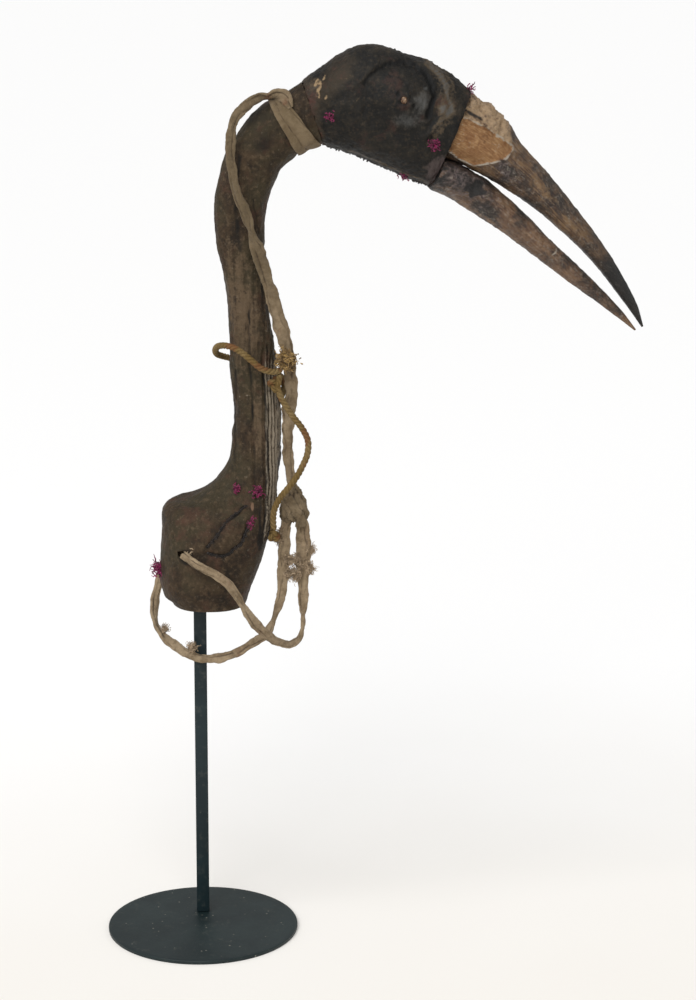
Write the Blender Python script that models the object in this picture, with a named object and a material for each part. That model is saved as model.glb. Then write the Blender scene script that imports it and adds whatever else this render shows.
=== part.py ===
"""A hunter's headdress in the shape of a long-beaked bird, on its display stand.

A hollow cup of leather rises into a long slim neck. A leather-covered head with
round eye mounds holds an upper and a lower bill. A cloth strap is wrapped round
the top of the neck, and hangs down to a knot that two cloth legs tie to holes in
the cup's sides. A twisted rope loops round the neck. A square rod on a round foot
carries the cup. Metres, +Z up, +X where the bill points, origin under the foot.
"""

import math

import bmesh
import bpy
import numpy as np
from mathutils import Matrix, Vector

# Gap between solids that touch
CLEAR = 0.0003

# Display stand
FOOT_RADIUS = 0.075
FOOT_THICKNESS = 0.003
FOOT_EDGE = 0.0006
FOOT_SIDES = 44
ROD_SIDE = 0.010
ROD_EDGE = 0.0006
ROD_SETBACK = 0.026
RIM_HEIGHT = 0.264

# Cup and neck
NECK_HEIGHT = 0.377
CUP_WALL = 0.005
CUP_DEPTH = 0.066
STRAP_HOLE = 0.0096
STRAP_HOLE_RISE = 0.044
STRAP_HOLE_LEAN = -0.010
STRAP_HOLE_SLANT = (0.62, -0.70, -0.35)
NECK_FULLNESS = 2.5

# The seam down the front and the groove on either side, as shares of NECK_HEIGHT
# and half-angle sines
SEAM_RISE = 0.0016
SEAM_MIDDLE = 0.30
SEAM_REACH = 0.26
SEAM_BREADTH = 0.16
GROOVE_DEPTH = 0.0010
GROOVE_MIDDLE = 0.48
GROOVE_REACH = 0.34
GROOVE_BREADTH = 0.13
GROOVE_ANGLE = 0.55

# Head
HEAD_LENGTH = 0.110
EYE_MOUND_RADIUS = 0.024
EYE_MOUND_RISE = 0.0050
EYE_MOAT_DEPTH = 0.0011
EYE_MOAT_PLACE = 1.08
EYE_MOAT_REACH = 0.30
EYE_BEAD_RADIUS = 0.0032
EYE_BEAD_PROUD = 0.0008
HEAD_FULLNESS = 2.2
JAW_NARROWING = 0.08

# Bills
BILL_LENGTH = 0.212
BILL_GAP = 0.0012
BILL_WALL = 0.003
BILL_HOLLOW = 0.55
BILL_FULLNESS = 2.1
BILL_FLATNESS = 0.7
UPPER_RIDGE_NARROWING = 0.42
LOWER_KEEL_NARROWING = 0.34

# The oval where the horn is broken away to bare bone
BROKEN_SHEATH = 0.0011
BROKEN_MIDDLE = 0.155
BROKEN_HALF_LENGTH = 0.130
BROKEN_HALF_BREADTH = 0.44
BROKEN_EDGE = 0.24

# Cloth and rope
WRAP_THICKNESS = 0.0030
WRAP_EASE = 0.0004
STRAP_DIAMETER = 0.0080
ROPE_DIAMETER = 0.0052
STRAP_KNOT_SIZE = (0.022, 0.017, 0.034)
ROPE_KNOT_SIZE = (0.0120, 0.0105, 0.0135)
END_KNOT_SIZE = (0.0105, 0.0090, 0.0105)
FRAYED_END_SIZE = (0.0110, 0.0080, 0.0130)
KNOT_RIDGE = 0.09
KNOT_TWIST = 7.0
TUFT_RADIUS = 0.0032
TUFT_SEAT = 0.9

# Rings of the neck: lean, rise, turn in degrees, depth, width, as shares of NECK_HEIGHT
NECK_RINGS = (
    (0.020, 0.000, 90, 0.154, 0.196),
    (0.015, 0.021, 90, 0.178, 0.213),
    (0.025, 0.095, 90, 0.210, 0.224),
    (0.036, 0.157, 90, 0.224, 0.217),
    (0.040, 0.189, 90, 0.229, 0.201),
    (0.050, 0.207, 90, 0.216, 0.176),
    (0.074, 0.222, 90, 0.170, 0.148),
    (0.095, 0.246, 90, 0.133, 0.125),
    (0.109, 0.279, 90, 0.110, 0.108),
    (0.119, 0.358, 90, 0.095, 0.095),
    (0.112, 0.493, 90, 0.092, 0.090),
    (0.096, 0.684, 90, 0.085, 0.087),
    (0.088, 0.735, 90, 0.094, 0.092),
    (0.092, 0.822, 90, 0.106, 0.098),
    (0.113, 0.898, 77, 0.113, 0.103),
    (0.133, 0.928, 61, 0.115, 0.106),
    (0.154, 0.954, 45, 0.120, 0.109),
    (0.208, 0.988, 22, 0.119, 0.113),
    (0.233, 1.000, 19, 0.127, 0.117),
)

# Rings of the head from nape to beak, as shares of HEAD_LENGTH
HEAD_RINGS = (
    (0.000, 0.000, 19, 0.443, 0.410),
    (0.086, 0.032, 10, 0.526, 0.480),
    (0.223, 0.066, 5, 0.670, 0.560),
    (0.423, 0.059, 3, 0.809, 0.600),
    (0.605, -0.005, 0, 0.827, 0.600),
    (0.745, -0.055, -6, 0.805, 0.560),
    (0.848, -0.111, -14, 0.755, 0.505),
    (0.945, -0.182, -22.5, 0.689, 0.436),
)

# Rings of the two bills from root to tip, as shares of BILL_LENGTH
UPPER_BILL_RINGS = (
    (0.000, 0.000, -22.5, 0.247, 0.212),
    (0.064, -0.033, -27, 0.232, 0.203),
    (0.127, -0.077, -34, 0.207, 0.184),
    (0.184, -0.131, -37, 0.168, 0.165),
    (0.264, -0.198, -45, 0.139, 0.142),
    (0.415, -0.343, -51, 0.094, 0.104),
    (0.543, -0.491, -59, 0.064, 0.068),
    (0.611, -0.589, -63, 0.048, 0.047),
    (0.654, -0.656, -66, 0.034, 0.032),
    (0.690, -0.728, -68, 0.008, 0.007),
)
LOWER_BILL_RINGS = (
    (0.000, 0.000, -22.5, 0.097, 0.189),
    (0.070, -0.036, -33, 0.120, 0.170),
    (0.119, -0.064, -34, 0.125, 0.156),
    (0.190, -0.114, -40, 0.119, 0.139),
    (0.285, -0.188, -40, 0.103, 0.118),
    (0.375, -0.265, -42, 0.085, 0.094),
    (0.497, -0.367, -45, 0.066, 0.068),
    (0.610, -0.462, -50, 0.045, 0.042),
    (0.678, -0.523, -52, 0.027, 0.026),
    (0.732, -0.576, -52, 0.007, 0.007),
)
# Where the two bills part, as a share of the head's front depth below its middle
BILL_PARTING = -0.205

# Places on the skins: share along the form, angle round it from the near side
EYE_PLACE = (0.595, 13)
TUFT_PLACES = {
    "tuft_crown": ("head", 0.985, 82),
    "tuft_cheek": ("head", 0.858, -11),
    "tuft_jaw": ("head", 0.628, -78),
    "tuft_nape": ("head", 0.128, -9),
    "tuft_flank": ("neck", 0.249, -18),
    "tuft_heel": ("neck", 0.068, 78),
}

# Routes of the cloth strap and the rope, as chosen points in metres
UPPER_STRAP_ROUTE = (
    (0.0545, 0.0122, 0.6545),
    (0.0500, 0.0112, 0.6540),
    (0.0435, 0.0097, 0.6510),
    (0.0370, 0.0083, 0.6465),
    (0.0315, 0.0068, 0.6405),
    (0.0278, 0.0053, 0.6320),
    (0.0260, 0.0040, 0.6205),
    (0.0261, 0.0027, 0.6080),
    (0.0286, 0.0015, 0.5947),
    (0.0328, 0.0008, 0.5800),
    (0.0380, 0.0012, 0.5657),
    (0.0432, 0.0035, 0.5497),
    (0.0487, 0.0072, 0.5311),
    (0.0547, 0.0108, 0.5131),
    (0.0600, 0.0137, 0.4955),
    (0.0645, 0.0152, 0.4785),
    (0.0680, 0.0155, 0.4625),
    (0.0707, 0.0155, 0.4454),
    (0.0712, 0.0155, 0.4299),
    (0.0698, 0.0155, 0.4143),
    (0.0688, 0.0155, 0.3986),
    (0.0693, 0.0155, 0.3805),
    (0.0718, 0.0158, 0.3596),
)
NEAR_LEG_ROUTE = (
    (-0.0125, -0.0105, 0.3094),
    (-0.0088, -0.0147, 0.3073),
    (-0.0038, -0.0200, 0.3045),
    (0.0040, -0.0242, 0.3012),
    (0.0130, -0.0258, 0.2965),
    (0.0215, -0.0260, 0.2893),
    (0.0284, -0.0252, 0.2797),
    (0.0345, -0.0240, 0.2690),
    (0.0415, -0.0213, 0.2578),
    (0.0506, -0.0170, 0.2470),
    (0.0605, -0.0100, 0.2380),
    (0.0695, -0.0025, 0.2340),
    (0.0763, 0.0035, 0.2362),
    (0.0797, 0.0080, 0.2440),
    (0.0803, 0.0110, 0.2550),
    (0.0803, 0.0130, 0.2678),
    (0.0805, 0.0140, 0.2821),
    (0.0808, 0.0150, 0.2993),
    (0.0808, 0.0160, 0.3150),
    (0.0806, 0.0160, 0.3258),
)
FAR_LEG_ROUTE = (
    (-0.0075, 0.0625, 0.3094),
    (-0.0112, 0.0667, 0.3073),
    (-0.0162, 0.0722, 0.3040),
    (-0.0225, 0.0765, 0.2970),
    (-0.0275, 0.0755, 0.2860),
    (-0.0305, 0.0720, 0.2745),
    (-0.0333, 0.0665, 0.2637),
    (-0.0358, 0.0600, 0.2535),
    (-0.0366, 0.0520, 0.2438),
    (-0.0340, 0.0435, 0.2355),
    (-0.0275, 0.0340, 0.2302),
    (-0.0187, 0.0245, 0.2257),
    (-0.0093, 0.0155, 0.2222),
    (0.0002, 0.0115, 0.2195),
    (0.0096, 0.0088, 0.2198),
    (0.0191, 0.0060, 0.2218),
    (0.0285, 0.0040, 0.2262),
    (0.0370, 0.0030, 0.2310),
    (0.0450, 0.0032, 0.2358),
    (0.0515, 0.0042, 0.2412),
    (0.0560, 0.0060, 0.2485),
    (0.0595, 0.0080, 0.2580),
    (0.0625, 0.0100, 0.2687),
    (0.0640, 0.0118, 0.2800),
    (0.0650, 0.0132, 0.2939),
    (0.0662, 0.0150, 0.3092),
    (0.0668, 0.0158, 0.3254),
)
ROPE_LOOP_ROUTE = (
    (0.0632, 0.0050, 0.4487),
    (0.0585, 0.0030, 0.4480),
    (0.0540, 0.0012, 0.4488),
    (0.0480, -0.0006, 0.4515),
    (0.0414, -0.0010, 0.4570),
    (0.0354, -0.0002, 0.4622),
    (0.0290, 0.0025, 0.4660),
    (0.0222, 0.0075, 0.4674),
    (0.0162, 0.0155, 0.4658),
    (0.0140, 0.0250, 0.4612),
    (0.0152, 0.0345, 0.4565),
    (0.0198, 0.0440, 0.4530),
    (0.0275, 0.0505, 0.4500),
    (0.0365, 0.0532, 0.4475),
    (0.0465, 0.0528, 0.4445),
    (0.0570, 0.0490, 0.4410),
    (0.0645, 0.0415, 0.4370),
    (0.0668, 0.0318, 0.4325),
    (0.0655, 0.0225, 0.4290),
    (0.0640, 0.0150, 0.4270),
)
ROPE_TAIL_ROUTE = (
    (0.0622, 0.0035, 0.4308),
    (0.0670, 0.0035, 0.4215),
    (0.0733, 0.0035, 0.4120),
    (0.0797, 0.0033, 0.4034),
    (0.0838, 0.0023, 0.3942),
    (0.0833, 0.0008, 0.3845),
    (0.0795, -0.0003, 0.3752),
    (0.0747, -0.0010, 0.3665),
    (0.0684, -0.0006, 0.3580),
    (0.0618, 0.0008, 0.3492),
    (0.0576, 0.0020, 0.3391),
    (0.0570, 0.0032, 0.3310),
    (0.0575, 0.0040, 0.3245),
)
STRAP_KNOT_PLACE = (0.0732, 0.0160, 0.3423)
ROPE_KNOT_PLACE = (0.0588, 0.0052, 0.4380)
END_KNOT_PLACE = (0.0575, 0.0045, 0.3190)
FRAYED_END_PLACE = (0.0672, 0.0072, 0.4560)

# The wrap above and below the neck, as shares of the neck's length
WRAP_MIDDLE = (0.950, 0.972)
WRAP_HALF_WIDTH = (0.011, 0.020)

# Fineness of the meshes, and the points on a cord per diameter
STRAP_STEP = 1.5
ROPE_STEP = 1.5
NECK_GRID = (36, 22)
HEAD_GRID = (24, 26)
UPPER_BILL_GRID = (20, 18)
LOWER_BILL_GRID = (18, 16)
WRAP_GRID = (24, 8)
CUP_GRID = (12, 22)
BILL_HOLLOW_GRID = (9, 14)
CUTTER_OVERRUN = 0.012


def material(name, color, roughness, metallic=0.0):
    """A plain surface for one piece."""
    made = bpy.data.materials.new(name)
    made.use_nodes = True
    shader = made.node_tree.nodes["Principled BSDF"]
    shader.inputs["Base Color"].default_value = (*color, 1.0)
    shader.inputs["Roughness"].default_value = roughness
    shader.inputs["Metallic"].default_value = metallic
    return made


def clear_scene():
    """An empty scene to model in."""
    for leftover in list(bpy.data.objects):
        bpy.data.objects.remove(leftover, do_unlink=True)


def object_from(name, mesh, surface):
    """Links a bmesh as a named object, with its faces pointing out."""
    bmesh.ops.recalc_face_normals(mesh, faces=mesh.faces)
    data = bpy.data.meshes.new(name)
    mesh.to_mesh(data)
    mesh.free()
    data.shade_smooth()
    data.set_sharp_from_angle(angle=math.radians(40))
    made = bpy.data.objects.new(name, data)
    bpy.context.scene.collection.objects.link(made)
    if surface is not None:
        made.data.materials.append(surface)
    return made


def rounded_wave(angle, power):
    """A point on a unit superellipse, by the angle from the near side."""
    across, up = math.cos(angle), math.sin(angle)
    return (
        math.copysign(abs(across) ** (2 / power), across),
        math.copysign(abs(up) ** (2 / power), up),
    )


def neck_section(angle):
    """A rounded box, fuller than an ellipse."""
    return rounded_wave(angle, NECK_FULLNESS)


def head_section(angle):
    """An oval that narrows a little towards the jaw."""
    across, up = rounded_wave(angle, HEAD_FULLNESS)
    return across * (1 + JAW_NARROWING * up), up


def upper_bill_section(angle):
    """A ridge above a nearly flat underside."""
    across, up = rounded_wave(angle, BILL_FULLNESS)
    if up < 0:
        return across, -(abs(up) ** BILL_FLATNESS)
    return across * (1 - UPPER_RIDGE_NARROWING * up), up


def lower_bill_section(angle):
    """A nearly flat top above a keel."""
    across, up = rounded_wave(angle, BILL_FULLNESS)
    if up > 0:
        return across, up**BILL_FLATNESS
    return across * (1 + LOWER_KEEL_NARROWING * up), up


def bump(distance, reach):
    """One at distance 0, falling smoothly to zero at reach."""
    share = min(abs(distance) / reach, 1.0)
    return (1 - share * share) ** 2


class Form:
    """A body swept through upright rings along the mid-plane of the headdress."""

    def __init__(self, rings, unit, root, section, relief=None):
        table = np.array(rings, float)
        table[:, [0, 1, 3, 4]] *= unit
        table[:, 0] += root[0]
        table[:, 1] += root[1]
        step = np.diff(table, axis=0)
        turn = np.radians(np.abs(step[:, 2])) * table[1:, 3] * 0.25
        travel = np.sqrt((step[:, :2] ** 2).sum(axis=1) + 0.2 * (step[:, 3:] ** 2).sum(axis=1))
        knots = np.concatenate([[0.0], np.cumsum(travel + turn)])
        self.table = table
        self.knots = knots / knots[-1]
        self.slopes = np.gradient(table, self.knots, axis=0)
        self.section = section
        self.relief = relief

    def ring(self, share):
        """Lean, rise, turn, depth and width at a share of the form's length."""
        share = min(max(share, 0.0), 1.0)
        i = min(int(np.searchsorted(self.knots, share, side="right")) - 1, len(self.knots) - 2)
        span = self.knots[i + 1] - self.knots[i]
        t = (share - self.knots[i]) / span
        rise = t * t * (3 - 2 * t)
        return (
            self.table[i] * (1 - rise)
            + self.table[i + 1] * rise
            + self.slopes[i] * span * t * (1 - t) ** 2
            - self.slopes[i + 1] * span * t * t * (1 - t)
        )

    def bare_point(self, share, angle, inset=0.0):
        """A point of the skin without its relief, set in from it in the ring's plane."""
        lean, rise, turn, depth, width = self.ring(share)
        across, up = self.section(angle)
        up *= depth / 2 - inset
        across *= width / 2 - inset
        turn = math.radians(turn)
        return Vector((lean - up * math.sin(turn), ROD_SETBACK - across, rise + up * math.cos(turn)))

    def normal(self, share, angle):
        """The skin's outward direction."""
        step = 0.004
        low, high = max(share - step, 0.0), min(share + step, 1.0)
        along = self.bare_point(high, angle) - self.bare_point(low, angle)
        around = self.bare_point(share, angle + 0.02) - self.bare_point(share, angle - 0.02)
        return along.cross(around).normalized()

    def point(self, share, angle, lift=0.0):
        """A point of the skin with its relief, lifted off it by a length."""
        place = self.bare_point(share, angle)
        if self.relief is not None:
            lift += self.relief(share, angle, place)
        return place + self.normal(share, angle) * lift if lift else place

    def share_at(self, column, value):
        """The share where one column of the rings reaches a value."""
        shares = np.linspace(0, 1, 400)
        reads = np.array([self.ring(share)[column] for share in shares])
        return float(np.interp(value, reads, shares))

    def half_width_at(self, lean, rise):
        """How far the skin stands from the mid-plane at a lean and rise."""
        share = self.share_at(1, rise)
        angles = np.linspace(-math.pi / 2, math.pi / 2, 181)
        skin = [self.bare_point(share, angle) for angle in angles]
        skin.sort(key=lambda place: place.x)
        return float(np.interp(lean, [place.x for place in skin], [ROD_SETBACK - place.y for place in skin]))

    def end(self, share):
        """Middle, outward direction, up direction and depth of the ring at one end."""
        lean, rise, turn, depth, _ = self.ring(share)
        turn = math.radians(turn)
        outward = Vector((math.cos(turn), 0, math.sin(turn)))
        upward = Vector((-math.sin(turn), 0, math.cos(turn)))
        return Vector((lean, ROD_SETBACK, rise)), outward, upward, depth

    def mesh(self, grid):
        """The closed skin, as a grid of rings and sides that is rolled up and capped."""
        rings, sides = grid
        mesh = bmesh.new()
        bmesh.ops.create_grid(mesh, x_segments=rings, y_segments=sides, size=0.5)
        for vertex in mesh.verts:
            share, turn = vertex.co.x + 0.5, vertex.co.y + 0.5
            vertex.co = self.point(share, turn % 1.0 * math.tau if turn < 0.9999 else 0.0)
        bmesh.ops.remove_doubles(mesh, verts=mesh.verts, dist=1e-6)
        bmesh.ops.holes_fill(mesh, edges=[edge for edge in mesh.edges if edge.is_boundary], sides=0)
        return mesh


def subtract(target, cutter):
    """Cuts one closed mesh out of another, and drops the cutter."""
    cutter.hide_render = True
    cutter.display_type = "WIRE"
    cut = target.modifiers.new(cutter.name, "BOOLEAN")
    cut.operation = "DIFFERENCE"
    cut.solver = "EXACT"
    cut.object = cutter


def hollow(made, form, until, wall, grid, mouth_way):
    """Cuts the inside away from the first ring up to a share of the form, leaving a wall."""
    inside = bmesh.new()
    bmesh.ops.create_grid(inside, x_segments=grid[0], y_segments=grid[1], size=0.5)
    mouth = 1.5 / grid[0]
    for vertex in inside.verts:
        share, turn = vertex.co.x + 0.5, vertex.co.y + 0.5
        step = max(share - mouth, 0.0) / (1 - mouth) * until
        vertex.co = form.bare_point(step, turn * math.tau if turn < 0.9999 else 0.0, inset=wall)
        if share < mouth / 2:
            vertex.co += mouth_way * CUTTER_OVERRUN
    bmesh.ops.remove_doubles(inside, verts=inside.verts, dist=1e-6)
    bmesh.ops.holes_fill(inside, edges=[edge for edge in inside.edges if edge.is_boundary], sides=0)
    subtract(made, object_from(made.name + "_inside", inside, None))


def neck_relief(share, angle, place):
    """A raised seam down the front, and a long groove on either side of it."""
    rise = (place.z - RIM_HEIGHT) / NECK_HEIGHT
    seam = bump(rise - SEAM_MIDDLE, SEAM_REACH)
    seam *= bump(math.sin((angle + math.pi / 2) / 2), SEAM_BREADTH)
    grooves = sum(
        bump(math.sin((angle - middle) / 2), GROOVE_BREADTH)
        for middle in (-GROOVE_ANGLE, math.pi + GROOVE_ANGLE)
    )
    grooves *= bump(rise - GROOVE_MIDDLE, GROOVE_REACH)
    return SEAM_RISE * seam - GROOVE_DEPTH * grooves


def eye_relief(eye):
    """A round mound with a shallow moat at each eye, fading into the head."""

    def relief(share, angle, place):
        distance = math.hypot(place.x - eye.x, place.z - eye.z) / EYE_MOUND_RADIUS
        mound = EYE_MOUND_RISE * bump(distance, 1.0)
        moat = EYE_MOAT_DEPTH * bump(distance - EYE_MOAT_PLACE, EYE_MOAT_REACH)
        return mound - moat * abs(math.cos(angle))

    return relief


def sheath_relief(share, angle, place):
    """The horn is broken away over an oval of bare bone on each side of the root."""
    side = min(abs(math.sin(angle / 2)), abs(math.sin((angle - math.pi) / 2)))
    oval = math.hypot((share - BROKEN_MIDDLE) / BROKEN_HALF_LENGTH, side / BROKEN_HALF_BREADTH)
    depth = (1 - oval) / BROKEN_EDGE + 0.5
    return -BROKEN_SHEATH * min(max(depth, 0.0), 1.0)


def build_foot(surface):
    """The round steel foot, with a softly broken edge."""
    mesh = bmesh.new()
    bmesh.ops.create_cone(
        mesh,
        cap_ends=True,
        segments=FOOT_SIDES,
        radius1=FOOT_RADIUS,
        radius2=FOOT_RADIUS,
        depth=FOOT_THICKNESS,
        matrix=Matrix.Translation((0, 0, FOOT_THICKNESS / 2)),
    )
    rim = [edge for edge in mesh.edges if abs(edge.verts[0].co.z - edge.verts[1].co.z) < 1e-7]
    bmesh.ops.bevel(
        mesh, geom=rim, offset=FOOT_EDGE, segments=1, profile=0.5, affect="EDGES", material=-1
    )
    return object_from("stand_foot", mesh, surface)


def build_rod(top, surface):
    """The square rod, from the foot up to the roof of the cup."""
    bottom = FOOT_THICKNESS + CLEAR
    mesh = bmesh.new()
    bmesh.ops.create_cube(mesh, size=1.0)
    bmesh.ops.scale(mesh, verts=mesh.verts, vec=(ROD_SIDE, ROD_SIDE, top - bottom))
    bmesh.ops.translate(mesh, verts=mesh.verts, vec=(0, ROD_SETBACK, (top + bottom) / 2))
    upright = [edge for edge in mesh.edges if abs(edge.verts[0].co.z - edge.verts[1].co.z) > ROD_SIDE]
    bmesh.ops.bevel(
        mesh, geom=upright, offset=ROD_EDGE, segments=2, profile=0.5, affect="EDGES", material=-1
    )
    return object_from("stand_rod", mesh, surface)


def build_neck(neck, roof_share, surface):
    """The cup and neck, hollowed from below, with a strap hole through either side."""
    made = object_from("neck", neck.mesh(NECK_GRID), surface)
    hollow(made, neck, roof_share, CUP_WALL, CUP_GRID, Vector((0, 0, -1)))
    hole_rise = RIM_HEIGHT + STRAP_HOLE_RISE
    reach = neck.half_width_at(STRAP_HOLE_LEAN, hole_rise)
    for side, way in (("near", 1), ("far", -1)):
        lean, across, rise = STRAP_HOLE_SLANT
        slant = Vector((lean * way, across, rise)).to_track_quat("Z", "Y")
        mouth = Vector((STRAP_HOLE_LEAN, ROD_SETBACK - way * reach, hole_rise))
        if way < 0:
            slant = Vector((lean * way, -across, rise)).to_track_quat("Z", "Y")
        hole = bmesh.new()
        bmesh.ops.create_cone(
            hole,
            cap_ends=True,
            segments=16,
            radius1=STRAP_HOLE / 2,
            radius2=STRAP_HOLE / 2,
            depth=CUP_WALL * 6,
            matrix=Matrix.Translation(mouth) @ slant.to_matrix().to_4x4(),
        )
        subtract(made, object_from("strap_hole_" + side, hole, None))
    return made


def ball(radius, place, segments=12, rings=8, stretch=(1, 1, 1)):
    """A round lump, as a bmesh."""
    mesh = bmesh.new()
    bmesh.ops.create_uvsphere(mesh, u_segments=segments, v_segments=rings, radius=radius)
    bmesh.ops.scale(mesh, verts=mesh.verts, vec=stretch)
    bmesh.ops.translate(mesh, verts=mesh.verts, vec=place)
    return mesh


def build_head(head, surface, bead_surface):
    """The leather-covered head with a bead set in each eye mound."""
    made = object_from("head", head.mesh(HEAD_GRID), surface)
    share, angle = EYE_PLACE
    for side, turn in (("near", math.radians(angle)), ("far", math.radians(180 - angle))):
        place = head.point(share, turn, EYE_BEAD_PROUD)
        socket = ball(EYE_BEAD_RADIUS + CLEAR, place, segments=10, rings=6)
        subtract(made, object_from("eye_socket_" + side, socket, None))
        eye = ball(EYE_BEAD_RADIUS, place, segments=10, rings=6)
        object_from("eye_bead_" + side, eye, bead_surface)


def build_bill(name, bill, grid, surface):
    """A bill of horn, hollow from its root, with its opening against the head."""
    made = object_from(name, bill.mesh(grid), surface)
    _, outward, _, _ = bill.end(0.0)
    hollow(made, bill, BILL_HOLLOW, BILL_WALL, BILL_HOLLOW_GRID, -outward)


def build_wrap(neck, surface):
    """A band of cloth round the top of the neck, narrow above and wide below."""
    mesh = bmesh.new()
    bmesh.ops.create_grid(mesh, x_segments=WRAP_GRID[0], y_segments=WRAP_GRID[1], size=0.5)
    for vertex in mesh.verts:
        turn = vertex.co.x + 0.5 if vertex.co.x < 0.4999 else 0.0
        round_band = vertex.co.y + 0.5 if vertex.co.y < 0.4999 else 0.0
        angle, edge = turn * math.tau, round_band * math.tau
        below = (1 - math.sin(angle)) / 2
        middle = WRAP_MIDDLE[0] * (1 - below) + WRAP_MIDDLE[1] * below
        half = WRAP_HALF_WIDTH[0] * (1 - below) + WRAP_HALF_WIDTH[1] * below
        lift = CLEAR + WRAP_EASE + WRAP_THICKNESS * (1 + math.sin(edge)) / 2
        vertex.co = neck.point(middle + half * math.cos(edge), angle, lift)
    bmesh.ops.remove_doubles(mesh, verts=mesh.verts, dist=1e-6)
    return object_from("strap_wrap", mesh, surface)


def through(route, step):
    """Points at an even step along a smooth curve through a route."""
    table = np.array(route)
    knots = np.concatenate([[0.0], np.cumsum(np.linalg.norm(np.diff(table, axis=0), axis=1))])
    slopes = np.gradient(table, knots, axis=0)
    count = max(int(round(knots[-1] / step)), 4) + 1
    points = []
    for at in np.linspace(0, knots[-1], count):
        i = min(int(np.searchsorted(knots, at, side="right")) - 1, len(knots) - 2)
        span = knots[i + 1] - knots[i]
        t = (at - knots[i]) / span
        rise = t * t * (3 - 2 * t)
        points.append(
            table[i] * (1 - rise)
            + table[i + 1] * rise
            + slopes[i] * span * t * (1 - t) ** 2
            - slopes[i + 1] * span * t * t * (1 - t)
        )
    return points


def build_cord(name, route, diameter, spacing, surface):
    """A round cord along its route, closed at both ends."""
    points = through(route, diameter * spacing)
    curve = bpy.data.curves.new(name, "CURVE")
    curve.dimensions = "3D"
    curve.bevel_depth = diameter / 2
    curve.bevel_resolution = 2
    curve.use_fill_caps = True
    line = curve.splines.new("POLY")
    line.points.add(len(points) - 1)
    for target, place in zip(line.points, points):
        target.co = (*place, 1.0)
    made = bpy.data.objects.new(name, curve)
    bpy.context.scene.collection.objects.link(made)
    curve.materials.append(surface)
    return made


def build_knot(name, place, size, folds, surface):
    """A knot's lump, ridged by the turns that cross it."""
    mesh = ball(0.5, (0, 0, 0), segments=12, rings=8)
    for vertex in mesh.verts:
        round_angle = math.atan2(vertex.co.y, vertex.co.x)
        swell = 1 + KNOT_RIDGE * math.sin(folds * round_angle + KNOT_TWIST * vertex.co.z)
        vertex.co.x *= swell
        vertex.co.y *= swell
    bmesh.ops.scale(mesh, verts=mesh.verts, vec=size)
    bmesh.ops.translate(mesh, verts=mesh.verts, vec=place)
    return object_from(name, mesh, surface)


def build_tufts(forms, surface):
    """Small knots of dyed wool that are sewn through the leather."""
    for name, (form, share, angle) in TUFT_PLACES.items():
        turn = math.radians(angle)
        lift = TUFT_RADIUS * TUFT_SEAT + CLEAR
        place = forms[form].point(share, turn, lift)
        object_from(name, ball(TUFT_RADIUS, place, segments=8, rings=6), surface)


clear_scene()

hide = material("smoked_hide", (0.115, 0.085, 0.058), 0.62)
head_hide = material("blackened_hide", (0.030, 0.024, 0.020), 0.50)
horn = material("horn", (0.110, 0.060, 0.032), 0.42)
bead = material("amber_bead", (0.420, 0.230, 0.090), 0.28)
cloth = material("worn_cloth", (0.300, 0.220, 0.130), 0.90)
rope = material("ochre_rope", (0.330, 0.220, 0.070), 0.85)
wool = material("magenta_wool", (0.250, 0.012, 0.080), 0.95)
steel = material("painted_steel", (0.016, 0.028, 0.036), 0.42)

neck_form = Form(NECK_RINGS, NECK_HEIGHT, (0.0, RIM_HEIGHT), neck_section, neck_relief)
neck_end, neck_out, _, _ = neck_form.end(1.0)
head_root = neck_end + neck_out * CLEAR
head_form = Form(HEAD_RINGS, HEAD_LENGTH, (head_root.x, head_root.z), head_section)
eye_middle = head_form.bare_point(EYE_PLACE[0], math.radians(EYE_PLACE[1]))
head_form.relief = eye_relief(eye_middle)

head_front, bill_out, bill_up, front_depth = head_form.end(1.0)
parting = head_front + bill_out * CLEAR + bill_up * (front_depth * BILL_PARTING)
upper_root = parting + bill_up * (BILL_GAP / 2 + UPPER_BILL_RINGS[0][3] * BILL_LENGTH / 2)
lower_root = parting - bill_up * (BILL_GAP / 2 + LOWER_BILL_RINGS[0][3] * BILL_LENGTH / 2)
upper_form = Form(
    UPPER_BILL_RINGS, BILL_LENGTH, (upper_root.x, upper_root.z), upper_bill_section, sheath_relief
)
lower_form = Form(LOWER_BILL_RINGS, BILL_LENGTH, (lower_root.x, lower_root.z), lower_bill_section)

roof = neck_form.share_at(1, RIM_HEIGHT + CUP_DEPTH)
build_foot(steel)
build_rod(neck_form.ring(roof)[1] - CLEAR, steel)
build_neck(neck_form, roof, hide)
build_head(head_form, head_hide, bead)
build_bill("upper_bill", upper_form, UPPER_BILL_GRID, horn)
build_bill("lower_bill", lower_form, LOWER_BILL_GRID, horn)
build_wrap(neck_form, cloth)
build_cord("strap_hanging", UPPER_STRAP_ROUTE, STRAP_DIAMETER, STRAP_STEP, cloth)
build_cord("strap_near_leg", NEAR_LEG_ROUTE, STRAP_DIAMETER, STRAP_STEP, cloth)
build_cord("strap_far_leg", FAR_LEG_ROUTE, STRAP_DIAMETER, STRAP_STEP, cloth)
build_knot("strap_knot", STRAP_KNOT_PLACE, STRAP_KNOT_SIZE, 3, cloth)
build_cord("rope_loop", ROPE_LOOP_ROUTE, ROPE_DIAMETER, ROPE_STEP, rope)
build_cord("rope_tail", ROPE_TAIL_ROUTE, ROPE_DIAMETER, ROPE_STEP, rope)
build_knot("rope_knot", ROPE_KNOT_PLACE, ROPE_KNOT_SIZE, 4, rope)
build_knot("rope_end_knot", END_KNOT_PLACE, END_KNOT_SIZE, 4, rope)
build_knot("rope_frayed_end", FRAYED_END_PLACE, FRAYED_END_SIZE, 3, rope)
build_tufts({"neck": neck_form, "head": head_form}, wool)
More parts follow.
